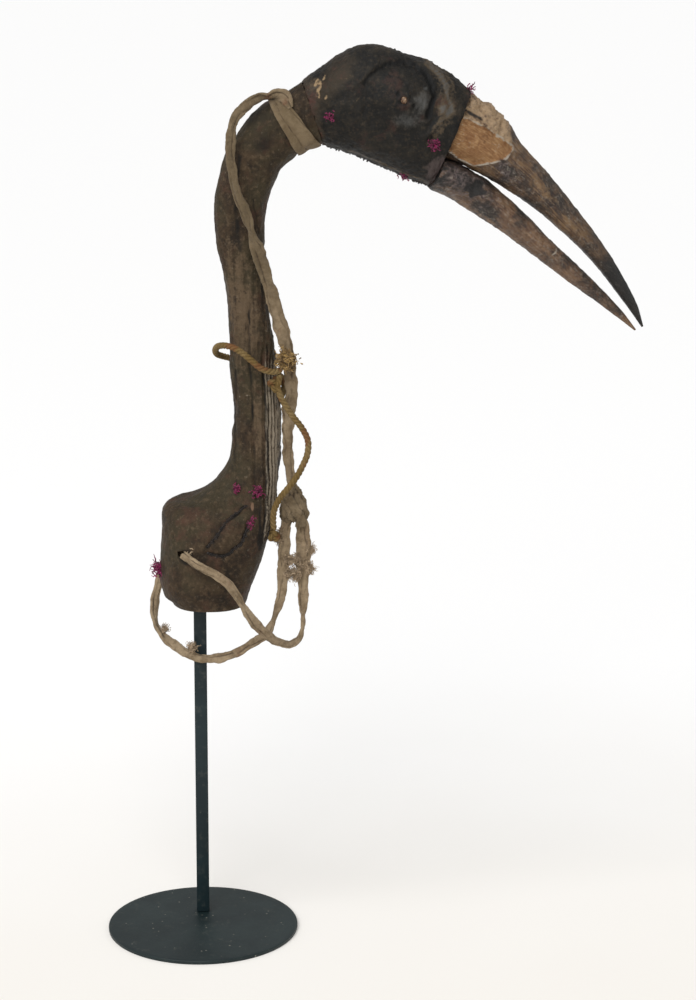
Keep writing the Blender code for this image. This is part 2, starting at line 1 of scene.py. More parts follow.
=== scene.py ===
"""The looks of a hunter's long-billed bird headdress on its stand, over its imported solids.

The skins of the neck, head and bills follow the same rings as the solids. Each is a dense
skin that is hollowed, creased and worn, with its colours laid in attributes that the
finishes break up. Cloth straps, rope, wool, stitches and frayed fibres are swept along
routes. Metres, +Z up, +X where the bill points, and the near side is towards -Y.
"""

import logging
import math
from dataclasses import dataclass
from enum import Enum
from typing import Callable, Sequence

import bmesh
import bpy
import numpy as np
from mathutils import Matrix, Vector, noise
from mathutils.bvhtree import BVHTree


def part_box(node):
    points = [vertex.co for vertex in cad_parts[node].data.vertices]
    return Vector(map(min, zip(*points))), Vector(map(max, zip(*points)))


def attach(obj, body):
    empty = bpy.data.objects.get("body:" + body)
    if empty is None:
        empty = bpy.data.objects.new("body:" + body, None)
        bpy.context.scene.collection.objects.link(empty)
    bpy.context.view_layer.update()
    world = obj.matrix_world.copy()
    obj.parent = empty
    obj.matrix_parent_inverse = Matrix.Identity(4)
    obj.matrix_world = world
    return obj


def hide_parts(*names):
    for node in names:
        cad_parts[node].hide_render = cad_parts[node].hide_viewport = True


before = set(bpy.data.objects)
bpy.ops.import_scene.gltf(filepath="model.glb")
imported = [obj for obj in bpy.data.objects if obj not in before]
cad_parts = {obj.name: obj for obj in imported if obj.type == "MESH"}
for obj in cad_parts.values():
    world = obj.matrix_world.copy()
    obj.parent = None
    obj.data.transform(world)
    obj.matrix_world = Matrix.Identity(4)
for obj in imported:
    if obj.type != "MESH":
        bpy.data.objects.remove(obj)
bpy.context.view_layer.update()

log = logging.getLogger("headdress")

Point = tuple[float, float, float]
Spot = tuple[float, float]
Colour = tuple[float, float, float]
Array = np.ndarray
Table = tuple[tuple[float, ...], ...]
# Corners in the side view, in millimetres
Line = tuple[Spot, ...]
# Strength, half breadth in millimetres and corners of each
Lines = tuple[tuple[float, float, Line], ...]

MM = 0.001
MID_PLANE = 0.026
RIM_HEIGHT = 0.264
CLEAR = 0.0003
NOISE_SEED = 1


class Side(Enum):
    """The side of the mid-plane that a detail is on."""

    NEAR = -1
    FAR = 1


# Finishes


@dataclass(frozen=True)
class Wire:
    """One output socket of a finish's nodes, with arithmetic."""

    paint: "Paint"
    socket: bpy.types.NodeSocket

    def maths(self, operation: str, other: "Value" = 0.0, turned: bool = False) -> "Wire":
        """Joins this value with another by a Math node.

        Args:
            operation: The Math node's operation.
            other: The other value.
            turned: Whether the other value comes first.

        Returns:
            The node's result.
        """
        first, second = (other, self) if turned else (self, other)
        return self.paint.node("ShaderNodeMath", {"operation": operation}, {0: first, 1: second})

    def __add__(self, other: "Value") -> "Wire":
        """The sum."""
        return self.maths("ADD", other)

    __radd__ = __add__

    def __sub__(self, other: "Value") -> "Wire":
        """The difference."""
        return self.maths("SUBTRACT", other)

    def __rsub__(self, other: "Value") -> "Wire":
        """The difference, from the other value."""
        return self.maths("SUBTRACT", other, turned=True)

    def __mul__(self, other: "Value") -> "Wire":
        """The product."""
        return self.maths("MULTIPLY", other)

    __rmul__ = __mul__

    def between(self, low: float, high: float) -> "Wire":
        """A smooth step from 0 at low to 1 at high.

        Args:
            low: The value that gives 0.
            high: The value that gives 1.

        Returns:
            The stepped value.
        """
        return self.paint.node(
            "ShaderNodeMapRange", {"interpolation_type": "SMOOTHSTEP"},
            {0: self, 1: low, 2: high, 3: 0.0, 4: 1.0},
        )


Value = Wire | float


class Paint:
    """The nodes of one material."""

    def __init__(self, name: str) -> None:
        """Starts a material with a Principled shader.

        Args:
            name: The material's name.
        """
        self.material = bpy.data.materials.new(name)
        self.material.use_nodes = True
        self.nodes = self.material.node_tree.nodes
        self.links = self.material.node_tree.links
        self.shader = self.nodes["Principled BSDF"]

    def node(self, kind: str, settings: dict, values: dict, output: int | str = 0) -> Wire:
        """Adds a node, with its settings first and then its sockets.

        Args:
            kind: The node's type.
            settings: Its properties.
            values: Its sockets' values or links, by index or name.
            output: The output that is wanted.

        Returns:
            That output.
        """
        made = self.nodes.new(kind)
        for key, value in settings.items():
            setattr(made, key, value)
        for key, value in values.items():
            self.put(made.inputs[key], value)
        return Wire(self, made.outputs[output])

    def put(self, socket: bpy.types.NodeSocket, value: "Value | Sequence[float]") -> None:
        """Links a wire to a socket, or sets its value.

        Args:
            socket: The socket.
            value: The wire or value.
        """
        if isinstance(value, Wire):
            self.links.new(value.socket, socket)
        else:
            socket.default_value = value

    def place(self) -> Wire:
        """The point on the piece, in metres."""
        return self.node("ShaderNodeTexCoord", {}, {}, "Object")

    def uv(self) -> Wire:
        """The place along and round the piece, from 0 to 1."""
        return self.node("ShaderNodeTexCoord", {}, {}, "UV")

    def mark(self, name: str) -> Wire:
        """A value that is laid on the mesh."""
        return self.node("ShaderNodeAttribute", {"attribute_name": name}, {}, "Fac")

    def stretch(self, place: Wire, scale: Point, turn: Point = (0, 0, 0)) -> Wire:
        """A place that is turned and then scaled along each axis.

        Args:
            place: The place.
            scale: How much finer the pattern is along each axis.
            turn: The turn about each axis, in degrees.

        Returns:
            The mapped place.
        """
        if any(turn):
            angles = [math.radians(angle) for angle in turn]
            place = self.node("ShaderNodeMapping", {}, {"Vector": place, "Rotation": angles})
        return self.node("ShaderNodeMapping", {}, {"Vector": place, "Scale": scale})

    def cloud(
        self, place: Wire, scale: float, detail: float = 4, rough: float = 0.55, bend: float = 0
    ) -> Wire:
        """Soft noise, from 0 to 1."""
        values = {"Vector": place, "Scale": scale, "Detail": detail, "Roughness": rough, "Distortion": bend}
        return self.node("ShaderNodeTexNoise", {}, values)

    def cells(self, place: Wire, scale: float, feature: str = "F1") -> Wire:
        """The distance in a field of cells."""
        return self.node("ShaderNodeTexVoronoi", {"feature": feature}, {"Vector": place, "Scale": scale})

    def blend(self, share: Value, under: "Wire | Colour", over: "Wire | Colour") -> Wire:
        """One colour over another.

        Args:
            share: How much of the upper colour shows, from 0 to 1.
            under: The colour below.
            over: The colour above.

        Returns:
            The blended colour.
        """
        sides = [c if isinstance(c, Wire) else (*c, 1.0) for c in (under, over)]
        values = {0: share, 6: sides[0], 7: sides[1]}
        return self.node("ShaderNodeMix", {"data_type": "RGBA", "clamp_factor": True}, values, 2)

    def layers(self, under: Wire, *layers: "tuple[Value, Wire | Colour]") -> Wire:
        """Colours over a first one, each over those before it.

        Args:
            under: The first colour.
            layers: How much of each colour shows, from 0 to 1, and the colour.

        Returns:
            The blended colour.
        """
        for share, over in layers:
            under = self.blend(share, under, over)
        return under

    def finish(
        self, colour: Wire, roughness: Value, bumps: Sequence[tuple[Wire, float, float]] = (),
        **constants: float,
    ) -> bpy.types.Material:
        """Joins the shader's inputs.

        Args:
            colour: The base colour.
            roughness: The roughness.
            bumps: Height, depth in metres and strength of each bump.
            constants: Other sockets of the shader, with _ for a space.

        Returns:
            The material.
        """
        self.put(self.shader.inputs["Base Color"], colour)
        self.put(self.shader.inputs["Roughness"], roughness)
        for name, value in constants.items():
            self.shader.inputs[name.replace("_", " ")].default_value = value
        normal: Wire | None = None
        for height, depth, strength in bumps:
            values = {"Height": height, "Distance": depth, "Strength": strength}
            if normal is not None:
                values["Normal"] = normal
            normal = self.node("ShaderNodeBump", {}, values, "Normal")
        if normal is not None:
            self.put(self.shader.inputs["Normal"], normal)
        return self.material


@dataclass(frozen=True)
class SmokedHide:
    """Old brown-grey hide of the neck and cup: mottled, greasy, with pale wear and with painted shade in its
    creases and grooves.
    """

    deep: Colour = (0.011, 0.0072, 0.0040)
    brown: Colour = (0.040, 0.024, 0.012)
    olive: Colour = (0.033, 0.025, 0.012)
    tan: Colour = (0.102, 0.069, 0.040)
    red: Colour = (0.066, 0.029, 0.018)
    pale: Colour = (0.235, 0.195, 0.145)
    black: Colour = (0.005, 0.004, 0.003)
    amber: Colour = (0.150, 0.090, 0.055)

    def build(self) -> bpy.types.Material:
        """Builds the material.

        Returns:
            The material.
        """
        p = Paint("smoked_hide_worn")
        place = p.place()
        broad = p.cloud(place, 24, 4, 0.55, 0.15)
        mottle = p.cloud(place, 95, 8, 0.74, 0.15)
        fine = p.cloud(place, 260, 6, 0.72, 0.1)
        blush = p.cloud(place, 46, 6, 0.68, 0.2)
        fleck = p.cloud(place, 330, 5, 0.70)
        streak = p.cloud(p.stretch(place, (190, 190, 17)), 1.0, 7, 0.66, 0.5)
        hairline = p.cloud(p.stretch(place, (520, 520, 34)), 1.0, 4, 0.6, 0.3)
        grain = p.cells(place, 900)
        light, dark, warm, edge, amber = (
            p.mark(name) for name in ("light", "dark", "warm", "lip", "amber")
        )
        worn = (light * 1.2 + (fine - 0.5) * 1.8 + (streak - 0.5) * 2.8).between(0.30, 1.15)
        layers = (edge * 1.1 + (streak - 0.5) * 1.8 + (hairline - 0.5) * 1.4).between(0.35, 1.10)
        gaps = (hairline * 0.5 + streak * 0.5).between(0.44, 0.34)
        rough = 0.50 + 0.35 * mottle - 0.10 * broad
        colour = p.layers(
            p.blend(broad.between(0.40, 0.60), self.brown, self.olive),
            ((mottle * 0.6 + broad * 0.4).between(0.53, 0.38) * 0.85, self.deep),
            (mottle.between(0.50, 0.66) * 0.26, self.tan),
            (fine.between(0.50, 0.66) * 0.50, self.tan),
            (blush.between(0.52, 0.66) * 0.55, self.red),
            (worn * 0.85, self.tan),
            ((warm + (mottle - 0.5) * 2.4).between(0.35, 1.0) * 0.7, self.red),
            (layers * edge.between(0.05, 0.4) * 0.9, self.pale),
            (gaps * edge.between(0.1, 0.5) * 0.95, self.black),
            (fleck.between(0.60, 0.74) * 0.40, self.pale),
            (fleck.between(0.44, 0.30) * 0.65, self.deep),
            # dark: dark patches and the front seam, with painted shade in the creases, grooves, strap holes,
            # between the layered edges and where the neck goes under the head
            ((dark + (mottle - 0.5) * 1.3).between(0.25, 1.0) * 0.90, self.black),
            ((amber + (fleck - 0.5)).between(0.35, 0.8), self.amber),
        )
        bumps = [
            (mottle, 0.0030, 0.6), (streak, 0.0016, 0.5), (hairline, 0.0006, 0.4), (fleck, 0.0009, 0.6),
            (grain, 0.0003, 0.4),
        ]
        return p.finish(colour, rough, bumps, Specular_IOR_Level=0.20)


@dataclass(frozen=True)
class BlackenedHide:
    """Near-black hide of the head, with a painted soft grey highlight, brown rear and torn pale spots."""

    black: Colour = (0.0042, 0.0040, 0.0036)
    soot: Colour = (0.0180, 0.0150, 0.0108)
    brown: Colour = (0.042, 0.030, 0.018)
    umber: Colour = (0.078, 0.056, 0.034)
    red: Colour = (0.060, 0.024, 0.018)
    grey: Colour = (0.085, 0.086, 0.084)
    cream: Colour = (0.260, 0.180, 0.100)
    mauve: Colour = (0.072, 0.054, 0.051)

    def build(self) -> bpy.types.Material:
        """Builds the material.

        Returns:
            The material.
        """
        p = Paint("blackened_hide_worn")
        place = p.place()
        broad = p.cloud(place, 34, 4, 0.6, 0.15)
        mottle = p.cloud(place, 125, 8, 0.74, 0.2)
        fine = p.cloud(place, 330, 6, 0.72, 0.1)
        blush = p.cloud(place, 52, 6, 0.68, 0.2)
        fleck = p.cloud(place, 520, 4, 0.65)
        swirl = p.cloud(p.stretch(place, (60, 60, 330), (0, 24, 0)), 1.0, 6, 0.65, 1.2)
        grain = p.cells(place, 1100)
        light, dark, warm, cream, painted_sheen, mauve = (
            p.mark(name) for name in ("light", "dark", "warm", "cream", "painted_sheen", "mauve")
        )
        worn = (warm * 1.3 + (broad - 0.5) * 2.4 + (mottle - 0.5) * 1.2).between(0.20, 1.25)
        painted_gloss = (painted_sheen + (fine - 0.5) * 1.5 + (mottle - 0.5) * 0.8).between(0.15, 1.25)
        rough = 0.40 + 0.34 * mottle
        colour = p.layers(
            p.blend((mottle * 0.6 + broad * 0.4).between(0.42, 0.62), self.black, self.soot),
            (fine.between(0.50, 0.66) * 0.55, self.brown),
            (blush.between(0.54, 0.68) * 0.35, self.red),
            (worn * 0.60, self.brown),
            ((warm + (mottle - 0.5) * 3.0).between(0.75, 1.5) * 0.8, self.red),
            # painted highlight: soft grey where the hide would shine
            (painted_gloss * 0.85, self.grey),
            ((light + (fine - 0.5) * 2.4).between(0.30, 1.1) * 0.9, self.umber),
            ((light * 0.7 + (swirl - 0.5) * 2.0).between(0.5, 1.1) * 0.7, self.grey),
            ((mauve + (mottle - 0.5) * 3.0).between(0.45, 1.1) * 0.8, self.mauve),
            (fleck.between(0.62, 0.76) * 0.22, self.grey),
            # dark: painted shade in the groove, hollows and moat of the eye mound and along the edge over the
            # upper bill, with the dark patch round the eye
            ((dark + (mottle - 0.5) * 1.2).between(0.3, 1.0), (0.003, 0.003, 0.003)),
            ((cream + (mottle - 0.5) * 3.6).between(0.45, 1.05), self.cream),
        )
        bumps = [
            (broad, 0.0040, 0.4), (mottle, 0.0022, 0.6), (swirl, 0.0006, 0.4), (fleck, 0.0006, 0.6),
            (grain, 0.0002, 0.4),
        ]
        return p.finish(colour, rough, bumps, Specular_IOR_Level=0.22)


@dataclass(frozen=True)
class Horn:
    """Weathered horn of the bills: brown, streaked lengthwise, scaly grey-purple patches, dark tip."""

    name: str
    deep: Colour = (0.014, 0.008, 0.006)
    brown: Colour = (0.064, 0.030, 0.015)
    honey: Colour = (0.215, 0.125, 0.054)
    mauve: Colour = (0.098, 0.074, 0.072)
    pale: Colour = (0.330, 0.285, 0.230)
    black: Colour = (0.007, 0.0065, 0.006)
    bone: Colour = (0.175, 0.074, 0.022)
    bone_pale: Colour = (0.320, 0.185, 0.080)
    casque: Colour = (0.330, 0.225, 0.130)

    def build(self) -> bpy.types.Material:
        """Builds the material.

        Returns:
            The material.
        """
        p = Paint(self.name)
        place = p.place()
        length = p.uv()
        broad = p.cloud(place, 42, 4, 0.62, 0.25)
        mottle = p.cloud(place, 150, 8, 0.76, 0.3)
        fleck = p.cloud(place, 620, 4, 0.7)
        streak = p.cloud(p.stretch(length, (10, 110, 1)), 1.0, 7, 0.68, 0.5)
        fibre = p.cloud(p.stretch(length, (30, 330, 1)), 1.0, 5, 0.65, 0.2)
        cracks = p.cells(p.stretch(length, (22, 80, 1)), 1.0, "DISTANCE_TO_EDGE")
        tip, scaly, bone, rim, casque, dark, light = (
            p.mark(name) for name in ("tip", "scaly", "bone", "rim", "casque", "dark", "light")
        )
        scrape = p.cloud(p.stretch(length, (55, 520, 1)), 1.0, 3, 0.6, 0.1)
        grainy = p.cloud(place, 290, 6, 0.78, 0.3)
        patchy = (scaly + (grainy - 0.5) * 4.2).between(0.45, 1.0)
        chips = fleck.between(0.57, 0.66) * mottle.between(0.47, 0.60)
        scales = grainy * 0.6 + mottle * 0.4
        rough = 0.20 + 0.42 * mottle + 0.25 * bone
        shell = p.layers(
            p.blend(mottle.between(0.32, 0.50), self.brown, self.casque),
            (fibre.between(0.56, 0.70) * 0.7, self.pale),
            (fleck.between(0.44, 0.32) * 0.8, self.deep),
        )
        core = p.blend((fibre * 0.55 + mottle * 0.45).between(0.44, 0.60), self.bone, self.bone_pale)
        core = p.blend(mottle.between(0.46, 0.32) * 0.7, core, self.brown)
        colour = p.layers(
            p.blend(broad.between(0.40, 0.60), self.deep, self.brown),
            ((streak * 0.6 + broad * 0.4).between(0.48, 0.60) * 0.90, self.honey),
            (fibre.between(0.48, 0.34) * 0.75, self.deep),
            (fibre.between(0.58, 0.70) * 0.50, self.pale),
            (scrape.between(0.57, 0.66) * mottle.between(0.42, 0.56) * 0.9, self.pale),
            (grainy.between(0.55, 0.67) * 0.55, self.pale),
            (grainy.between(0.44, 0.34) * 0.60, self.deep),
            (patchy * 0.85, self.mauve),
            (scales.between(0.54, 0.44) * scaly * 0.95, self.black),
            (scales.between(0.55, 0.63) * scaly * 0.9, self.pale),
            # light: on the upper bill, scratches with a painted highlight of glints along the upper edge; on
            # the lower bill, a paler tip, keel and side
            ((light + (mottle - 0.5) * 2.4).between(0.45, 1.1) * 0.8, self.honey),
            ((tip + (streak - 0.5) * 1.2).between(0.25, 0.95) * 0.94, self.black),
            ((casque + (mottle - 0.5) * 1.2).between(0.35, 0.7), shell),
            ((bone + (fleck - 0.5) * 0.3).between(0.42, 0.56), core),
            (chips * 0.85 * (1.0 - tip * 0.7), self.pale),
            ((rim + (mottle - 0.5) * 2.4).between(0.60, 0.95) * 0.9, self.pale),
            # dark: painted shade in the upper bill's nostril hollow, with a dark chip there; on the lower
            # bill, darker at the root and over its pit
            ((dark + (mottle - 0.5) * 1.6).between(0.35, 0.9) * 0.95, self.black),
        )
        bumps = [
            (mottle, 0.0028, 0.7), (streak, 0.0012, 0.5), (fibre, 0.0006, 0.6), (fleck, 0.0006, 0.6),
            (cracks.between(0.0, 0.05), 0.0006, 0.35),
        ]
        return p.finish(colour, rough, bumps, Specular_IOR_Level=0.42)


@dataclass(frozen=True)
class WornCloth:
    """Grubby khaki cotton with a plain weave, grease marks and painted shade in its creases."""

    name: str
    threads: Spot
    light: Colour = (0.375, 0.285, 0.182)
    khaki: Colour = (0.210, 0.152, 0.090)
    dirt_and_crease_shade: Colour = (0.052, 0.034, 0.021)
    olive: Colour = (0.100, 0.074, 0.040)
    red: Colour = (0.150, 0.078, 0.044)

    def build(self) -> bpy.types.Material:
        """Builds the material.

        Returns:
            The material.
        """
        p = Paint(self.name)
        place = p.place()
        uv = p.uv()
        broad = p.cloud(place, 70, 5, 0.64, 0.1)
        stain = p.cloud(place, 210, 7, 0.72, 0.1)
        nap = p.cloud(place, 900, 4, 0.7)
        across = p.cloud(p.stretch(uv, (self.threads[0] * 0.3, 5, 1)), 1.0, 4, 0.62, 0.5)
        warp = p.node(
            "ShaderNodeTexWave", {"bands_direction": "X"}, {"Vector": p.stretch(uv, (self.threads[0], 1, 1))}
        )
        weft = p.node(
            "ShaderNodeTexWave", {"bands_direction": "Y"}, {"Vector": p.stretch(uv, (1, self.threads[1], 1))}
        )
        weave = warp * weft
        soil, fold, worn, grime = (p.mark(name) for name in ("soil", "fold", "worn", "grime"))
        colour = p.layers(
            p.blend((broad * 0.6 + stain * 0.4).between(0.40, 0.60), self.khaki, self.light),
            ((stain - 0.5 + worn * 0.5).between(0.10, 0.5) * 0.6, self.light),
            (stain.between(0.43, 0.28) * 0.35, self.dirt_and_crease_shade),
            ((grime + (stain - 0.5) * 1.6).between(0.20, 1.10) * 0.80, self.olive),
            (across.between(0.54, 0.70) * 0.22, self.dirt_and_crease_shade),
            ((1.0 - weave) * 0.16, self.dirt_and_crease_shade),
            ((soil + (stain - 0.5) * 2.2).between(0.35, 1.0) * 0.85, self.red),
            # fold: painted shade in the creases, pleats and along the hems
            ((fold + (stain - 0.5) * 0.8).between(0.25, 1.0) * 0.88, self.dirt_and_crease_shade),
        )
        bumps = [(stain, 0.0018, 0.7), (weave, 0.0003, 0.5), (across, 0.0010, 0.6), (nap, 0.0004, 0.5)]
        return p.finish(colour, 0.92, bumps, Specular_IOR_Level=0.15, Sheen_Weight=0.08)


@dataclass(frozen=True)
class OchreRope:
    """Twisted ochre cord, rubbed red-brown in places."""

    ochre: Colour = (0.138, 0.088, 0.028)
    straw: Colour = (0.190, 0.132, 0.056)
    umber: Colour = (0.045, 0.027, 0.011)
    red: Colour = (0.140, 0.058, 0.022)

    def build(self) -> bpy.types.Material:
        """Builds the material.

        Returns:
            The material.
        """
        p = Paint("ochre_rope_worn")
        place = p.place()
        broad = p.cloud(place, 60, 4, 0.6)
        hair = p.cloud(p.stretch(p.uv(), (260, 9, 1)), 1.0, 5, 0.65)
        stain = p.cloud(place, 210, 6, 0.65)
        soil = p.mark("soil")
        colour = p.layers(
            p.blend(broad.between(0.38, 0.64), self.ochre, self.straw),
            (hair.between(0.50, 0.30) * 0.7, self.umber),
            (stain.between(0.55, 0.75) * 0.5, self.umber),
            ((soil + (stain - 0.5) * 1.2).between(0.3, 0.9) * 0.85, self.red),
        )
        return p.finish(colour, 0.86, [(hair, 0.0005, 0.7), (stain, 0.0006, 0.5)], Specular_IOR_Level=0.25)


@dataclass(frozen=True)
class DyedThread:
    """Wool or sewing thread of one dye, lighter and darker by the strand."""

    name: str
    dark: Colour
    bright: Colour

    def build(self) -> bpy.types.Material:
        """Builds the material.

        Returns:
            The material.
        """
        p = Paint(self.name)
        shade = p.cloud(p.place(), 260, 5, 0.6)
        hair = p.cloud(p.place(), 1500, 3, 0.6)
        colour = p.blend(shade.between(0.36, 0.64), self.dark, self.bright)
        return p.finish(colour, 0.92, [(hair, 0.0002, 0.6)], Specular_IOR_Level=0.2, Sheen_Weight=0.2)


@dataclass(frozen=True)
class PaintedSteel:
    """Blue-black powder paint of the stand, dusty and speckled."""

    name: str
    base: Colour = (0.0030, 0.0105, 0.0135)
    lift: Colour = (0.0075, 0.0190, 0.0225)
    dust: Colour = (0.240, 0.230, 0.190)

    def build(self) -> bpy.types.Material:
        """Builds the material.

        Returns:
            The material.
        """
        p = Paint(self.name)
        place = p.place()
        broad = p.cloud(place, 22, 4, 0.6)
        fine = p.cloud(place, 900, 3, 0.6)
        film = p.cloud(place, 160, 7, 0.7)
        specks = p.cells(place, 150).between(0.14, 0.06) * p.cloud(place, 60, 3, 0.6).between(0.47, 0.60)
        rim = p.mark("rim")
        rough = 0.40 + 0.18 * film
        colour = p.layers(
            p.blend(broad.between(0.3, 0.7), self.base, self.lift),
            (film.between(0.52, 0.80) * 0.16, self.dust),
            (specks * (0.25 + rim) * 0.8, self.dust),
        )
        return p.finish(colour, rough, [(fine, 0.0001, 0.5), (film, 0.0001, 0.3)], Specular_IOR_Level=0.32)


@dataclass(frozen=True)
class AmberBead:
    """A dull amber bead with a milky middle."""

    amber: Colour = (0.085, 0.034, 0.013)
    milk: Colour = (0.230, 0.150, 0.085)
    pit: Colour = (0.020, 0.009, 0.005)

    def build(self) -> bpy.types.Material:
        """Builds the material.

        Returns:
            The material.
        """
        p = Paint("amber_bead_worn")
        vein = p.cloud(p.place(), 520, 5, 0.7, 0.8)
        colour = p.blend(vein.between(0.46, 0.58), self.amber, self.milk)
        colour = p.blend(vein.between(0.44, 0.36), colour, self.pit)
        return p.finish(colour, 0.30 + 0.2 * vein, [(vein, 0.0003, 0.5)], Coat_Weight=0.1)


@dataclass(frozen=True)
class StudioGround:
    """The pale ground of the studio, darker and warmer towards the front."""

    pale: Colour = (0.965, 0.966, 0.968)
    warm: Colour = (0.850, 0.820, 0.772)

    def build(self) -> bpy.types.Material:
        """Builds the material.

        Returns:
            The material.
        """
        p = Paint("studio_ground")
        place = p.place()
        depth = p.node("ShaderNodeSeparateXYZ", {}, {0: place}, "Y")
        soft = p.cloud(place, 3, 2, 0.5)
        colour = p.blend((depth + (soft - 0.5) * 0.3).between(0.75, -0.35), self.pale, self.warm)
        return p.finish(colour, 0.85, Specular_IOR_Level=0.1)


class Finishes:
    """Every material, made once."""

    def __init__(self) -> None:
        """Builds the materials."""
        self.hide = SmokedHide().build()
        self.head = BlackenedHide().build()
        self.upper_horn = Horn("upper_horn_worn").build()
        self.lower_horn = Horn(
            "lower_horn_worn", brown=(0.095, 0.045, 0.024), honey=(0.210, 0.122, 0.064)
        ).build()
        self.strap = WornCloth("strap_cloth_worn", (520, 14)).build()
        self.wrap = WornCloth(
            "wrap_cloth_worn", (210, 60), light=(0.215, 0.160, 0.095), khaki=(0.150, 0.108, 0.060)
        ).build()
        self.fluff = DyedThread("cotton_fluff", (0.190, 0.135, 0.080), (0.460, 0.345, 0.230)).build()
        self.rope = OchreRope().build()
        self.rope_fibre = DyedThread("ochre_fibre", (0.120, 0.070, 0.025), (0.360, 0.230, 0.080)).build()
        self.wool = DyedThread("magenta_wool_worn", (0.060, 0.005, 0.022), (0.270, 0.014, 0.095)).build()
        self.thread = DyedThread("black_thread", (0.005, 0.0035, 0.003), (0.017, 0.011, 0.008)).build()
        self.rod = PaintedSteel("painted_rod").build()
        self.foot = PaintedSteel(
            "painted_foot", base=(0.0045, 0.0115, 0.0130), lift=(0.0110, 0.0210, 0.0220)
        ).build()
        self.bead = AmberBead().build()
        self.ground = StudioGround().build()


# Meshes


def smooth(values: Array, low: float, high: float) -> Array:
    """A smooth step from 0 at low to 1 at high, for arrays."""
    t = np.clip((values - low) / (high - low), 0.0, 1.0)
    return t * t * (3 - 2 * t)


def rough(points: Array, scale: float, octaves: int = 3, seed: float = 0.0) -> Array:
    """Noise at each point, about -1 to 1.

    Args:
        points: The points.
        scale: Lumps per metre.
        octaves: How many finer layers are added.
        seed: A shift that gives another pattern.

    Returns:
        One value a point.
    """
    shift = Vector((seed * 7.3, seed * 3.1, seed * 5.7))
    return np.array([noise.fractal(Vector(point) * scale + shift, 1.0, 2.0, octaves) for point in points])


def near_line(spots: Array, line: Line) -> Array:
    """The distance of flat spots from a line through chosen spots.

    Args:
        spots: The spots.
        line: The line's corners, in millimetres.

    Returns:
        One distance a spot.
    """
    best = np.full(len(spots), 1e9)
    corners = np.array(line, float) * MM
    for start, end in zip(corners[:-1], corners[1:]):
        way = end - start
        share = np.clip((spots - start) @ way / max(float(way @ way), 1e-12), 0, 1)
        best = np.minimum(best, np.linalg.norm(spots - start - share[:, None] * way, axis=1))
    return best


def wander(points: Array, reach: float, scale: float) -> Array:
    """Points that are pushed about a little, so that lines and ovals on them waver.

    Args:
        points: The points.
        reach: How far they are pushed.
        scale: Lumps per metre.

    Returns:
        The pushed points.
    """
    push = np.array([noise.turbulence_vector(Vector(p) * scale, 2, False) for p in points])
    return points + push * reach


def fade(values: Array, low: float, high: float) -> Array:
    """A smooth fall from 1 near zero to 0 at high, on either side of zero."""
    return 1 - smooth(np.abs(values), low, high)


def ovals(points: Array, table: Table) -> Array:
    """Soft ovals in the side view, each strongest in its middle and gone at its edge.

    Args:
        points: The points.
        table: The strength of each, then lean, rise, half length and half breadth in
            millimetres, then the tilt of its length above +X in degrees.

    Returns:
        Their sum at each point.
    """
    total = np.zeros(len(points))
    for strength, lean, rise, length, breadth, tilt in table:
        angle = math.radians(tilt)
        x, z = points[:, 0] - lean * MM, points[:, 2] - rise * MM
        along = x * math.cos(angle) + z * math.sin(angle)
        across = z * math.cos(angle) - x * math.sin(angle)
        total += strength * fade(np.hypot(along / (length * MM), across / (breadth * MM)), 0.0, 1.0)
    return total


def strokes(points: Array, lines: Lines) -> Array:
    """Soft lines in the side view, each strongest along its middle and gone at its edge.

    Args:
        points: The points.
        lines: The strength of each, its half breadth in millimetres and its corners.

    Returns:
        Their sum at each point.
    """
    total = np.zeros(len(points))
    for strength, breadth, line in lines:
        total += strength * fade(near_line(points[:, [0, 2]], line), 0.0, breadth * MM)
    return total


def flatten(values: Array, power: float) -> Array:
    """Values whose size is raised to a power, with their signs kept."""
    return np.sign(values) * np.abs(values) ** power


def glide(table: Array, knots: Array, slopes: Array, at: Array) -> Array:
    """A smooth curve through the rows of a table.

    Args:
        table: The rows.
        knots: Where each row lies along the curve.
        slopes: The curve's slope at each row.
        at: Where values are wanted.

    Returns:
        One row for each.
    """
    i = np.clip(np.searchsorted(knots, at, side="right") - 1, 0, len(knots) - 2)
    span = (knots[i + 1] - knots[i])[:, None]
    t = (at - knots[i])[:, None] / span
    rise = t * t * (3 - 2 * t)
    bend = slopes[i] * span * t * (1 - t) ** 2 - slopes[i + 1] * span * t * t * (1 - t)
    return table[i] * (1 - rise) + table[i + 1] * rise + bend


def wave(angle: Array, power: float) -> tuple[Array, Array]:
    """Points on a unit superellipse, by the angle from the near side."""
    return flatten(np.cos(angle), 2 / power), flatten(np.sin(angle), 2 / power)


def neck_section(angle: Array) -> tuple[Array, Array]:
    """A rounded box."""
    return wave(angle, 2.5)


def head_section(angle: Array) -> tuple[Array, Array]:
    """An oval that narrows a little towards the jaw.

    Args:
        angle: Angles from the near side.

    Returns:
        Places across and up, from -1 to 1.
    """
    across, up = wave(angle, 2.2)
    return across * (1 + 0.08 * up), up


def upper_bill_section(angle: Array) -> tuple[Array, Array]:
    """A ridge above a nearly flat underside.

    Args:
        angle: Angles from the near side.

    Returns:
        Places across and up, from -1 to 1.
    """
    across, up = wave(angle, 2.1)
    low = up < 0
    shape = np.where(low, -(np.abs(up) ** 0.7), up)
    return np.where(low, across, across * (1 - 0.42 * up)), shape


def lower_bill_section(angle: Array) -> tuple[Array, Array]:
    """A nearly flat top above a keel.

    Args:
        angle: Angles from the near side.

    Returns:
        Places across and up, from -1 to 1.
    """
    across, up = wave(angle, 2.1)
    high = up > 0
    shape = np.where(high, np.abs(up) ** 0.7, up)
    return np.where(high, across, across * (1 + 0.34 * up)), shape


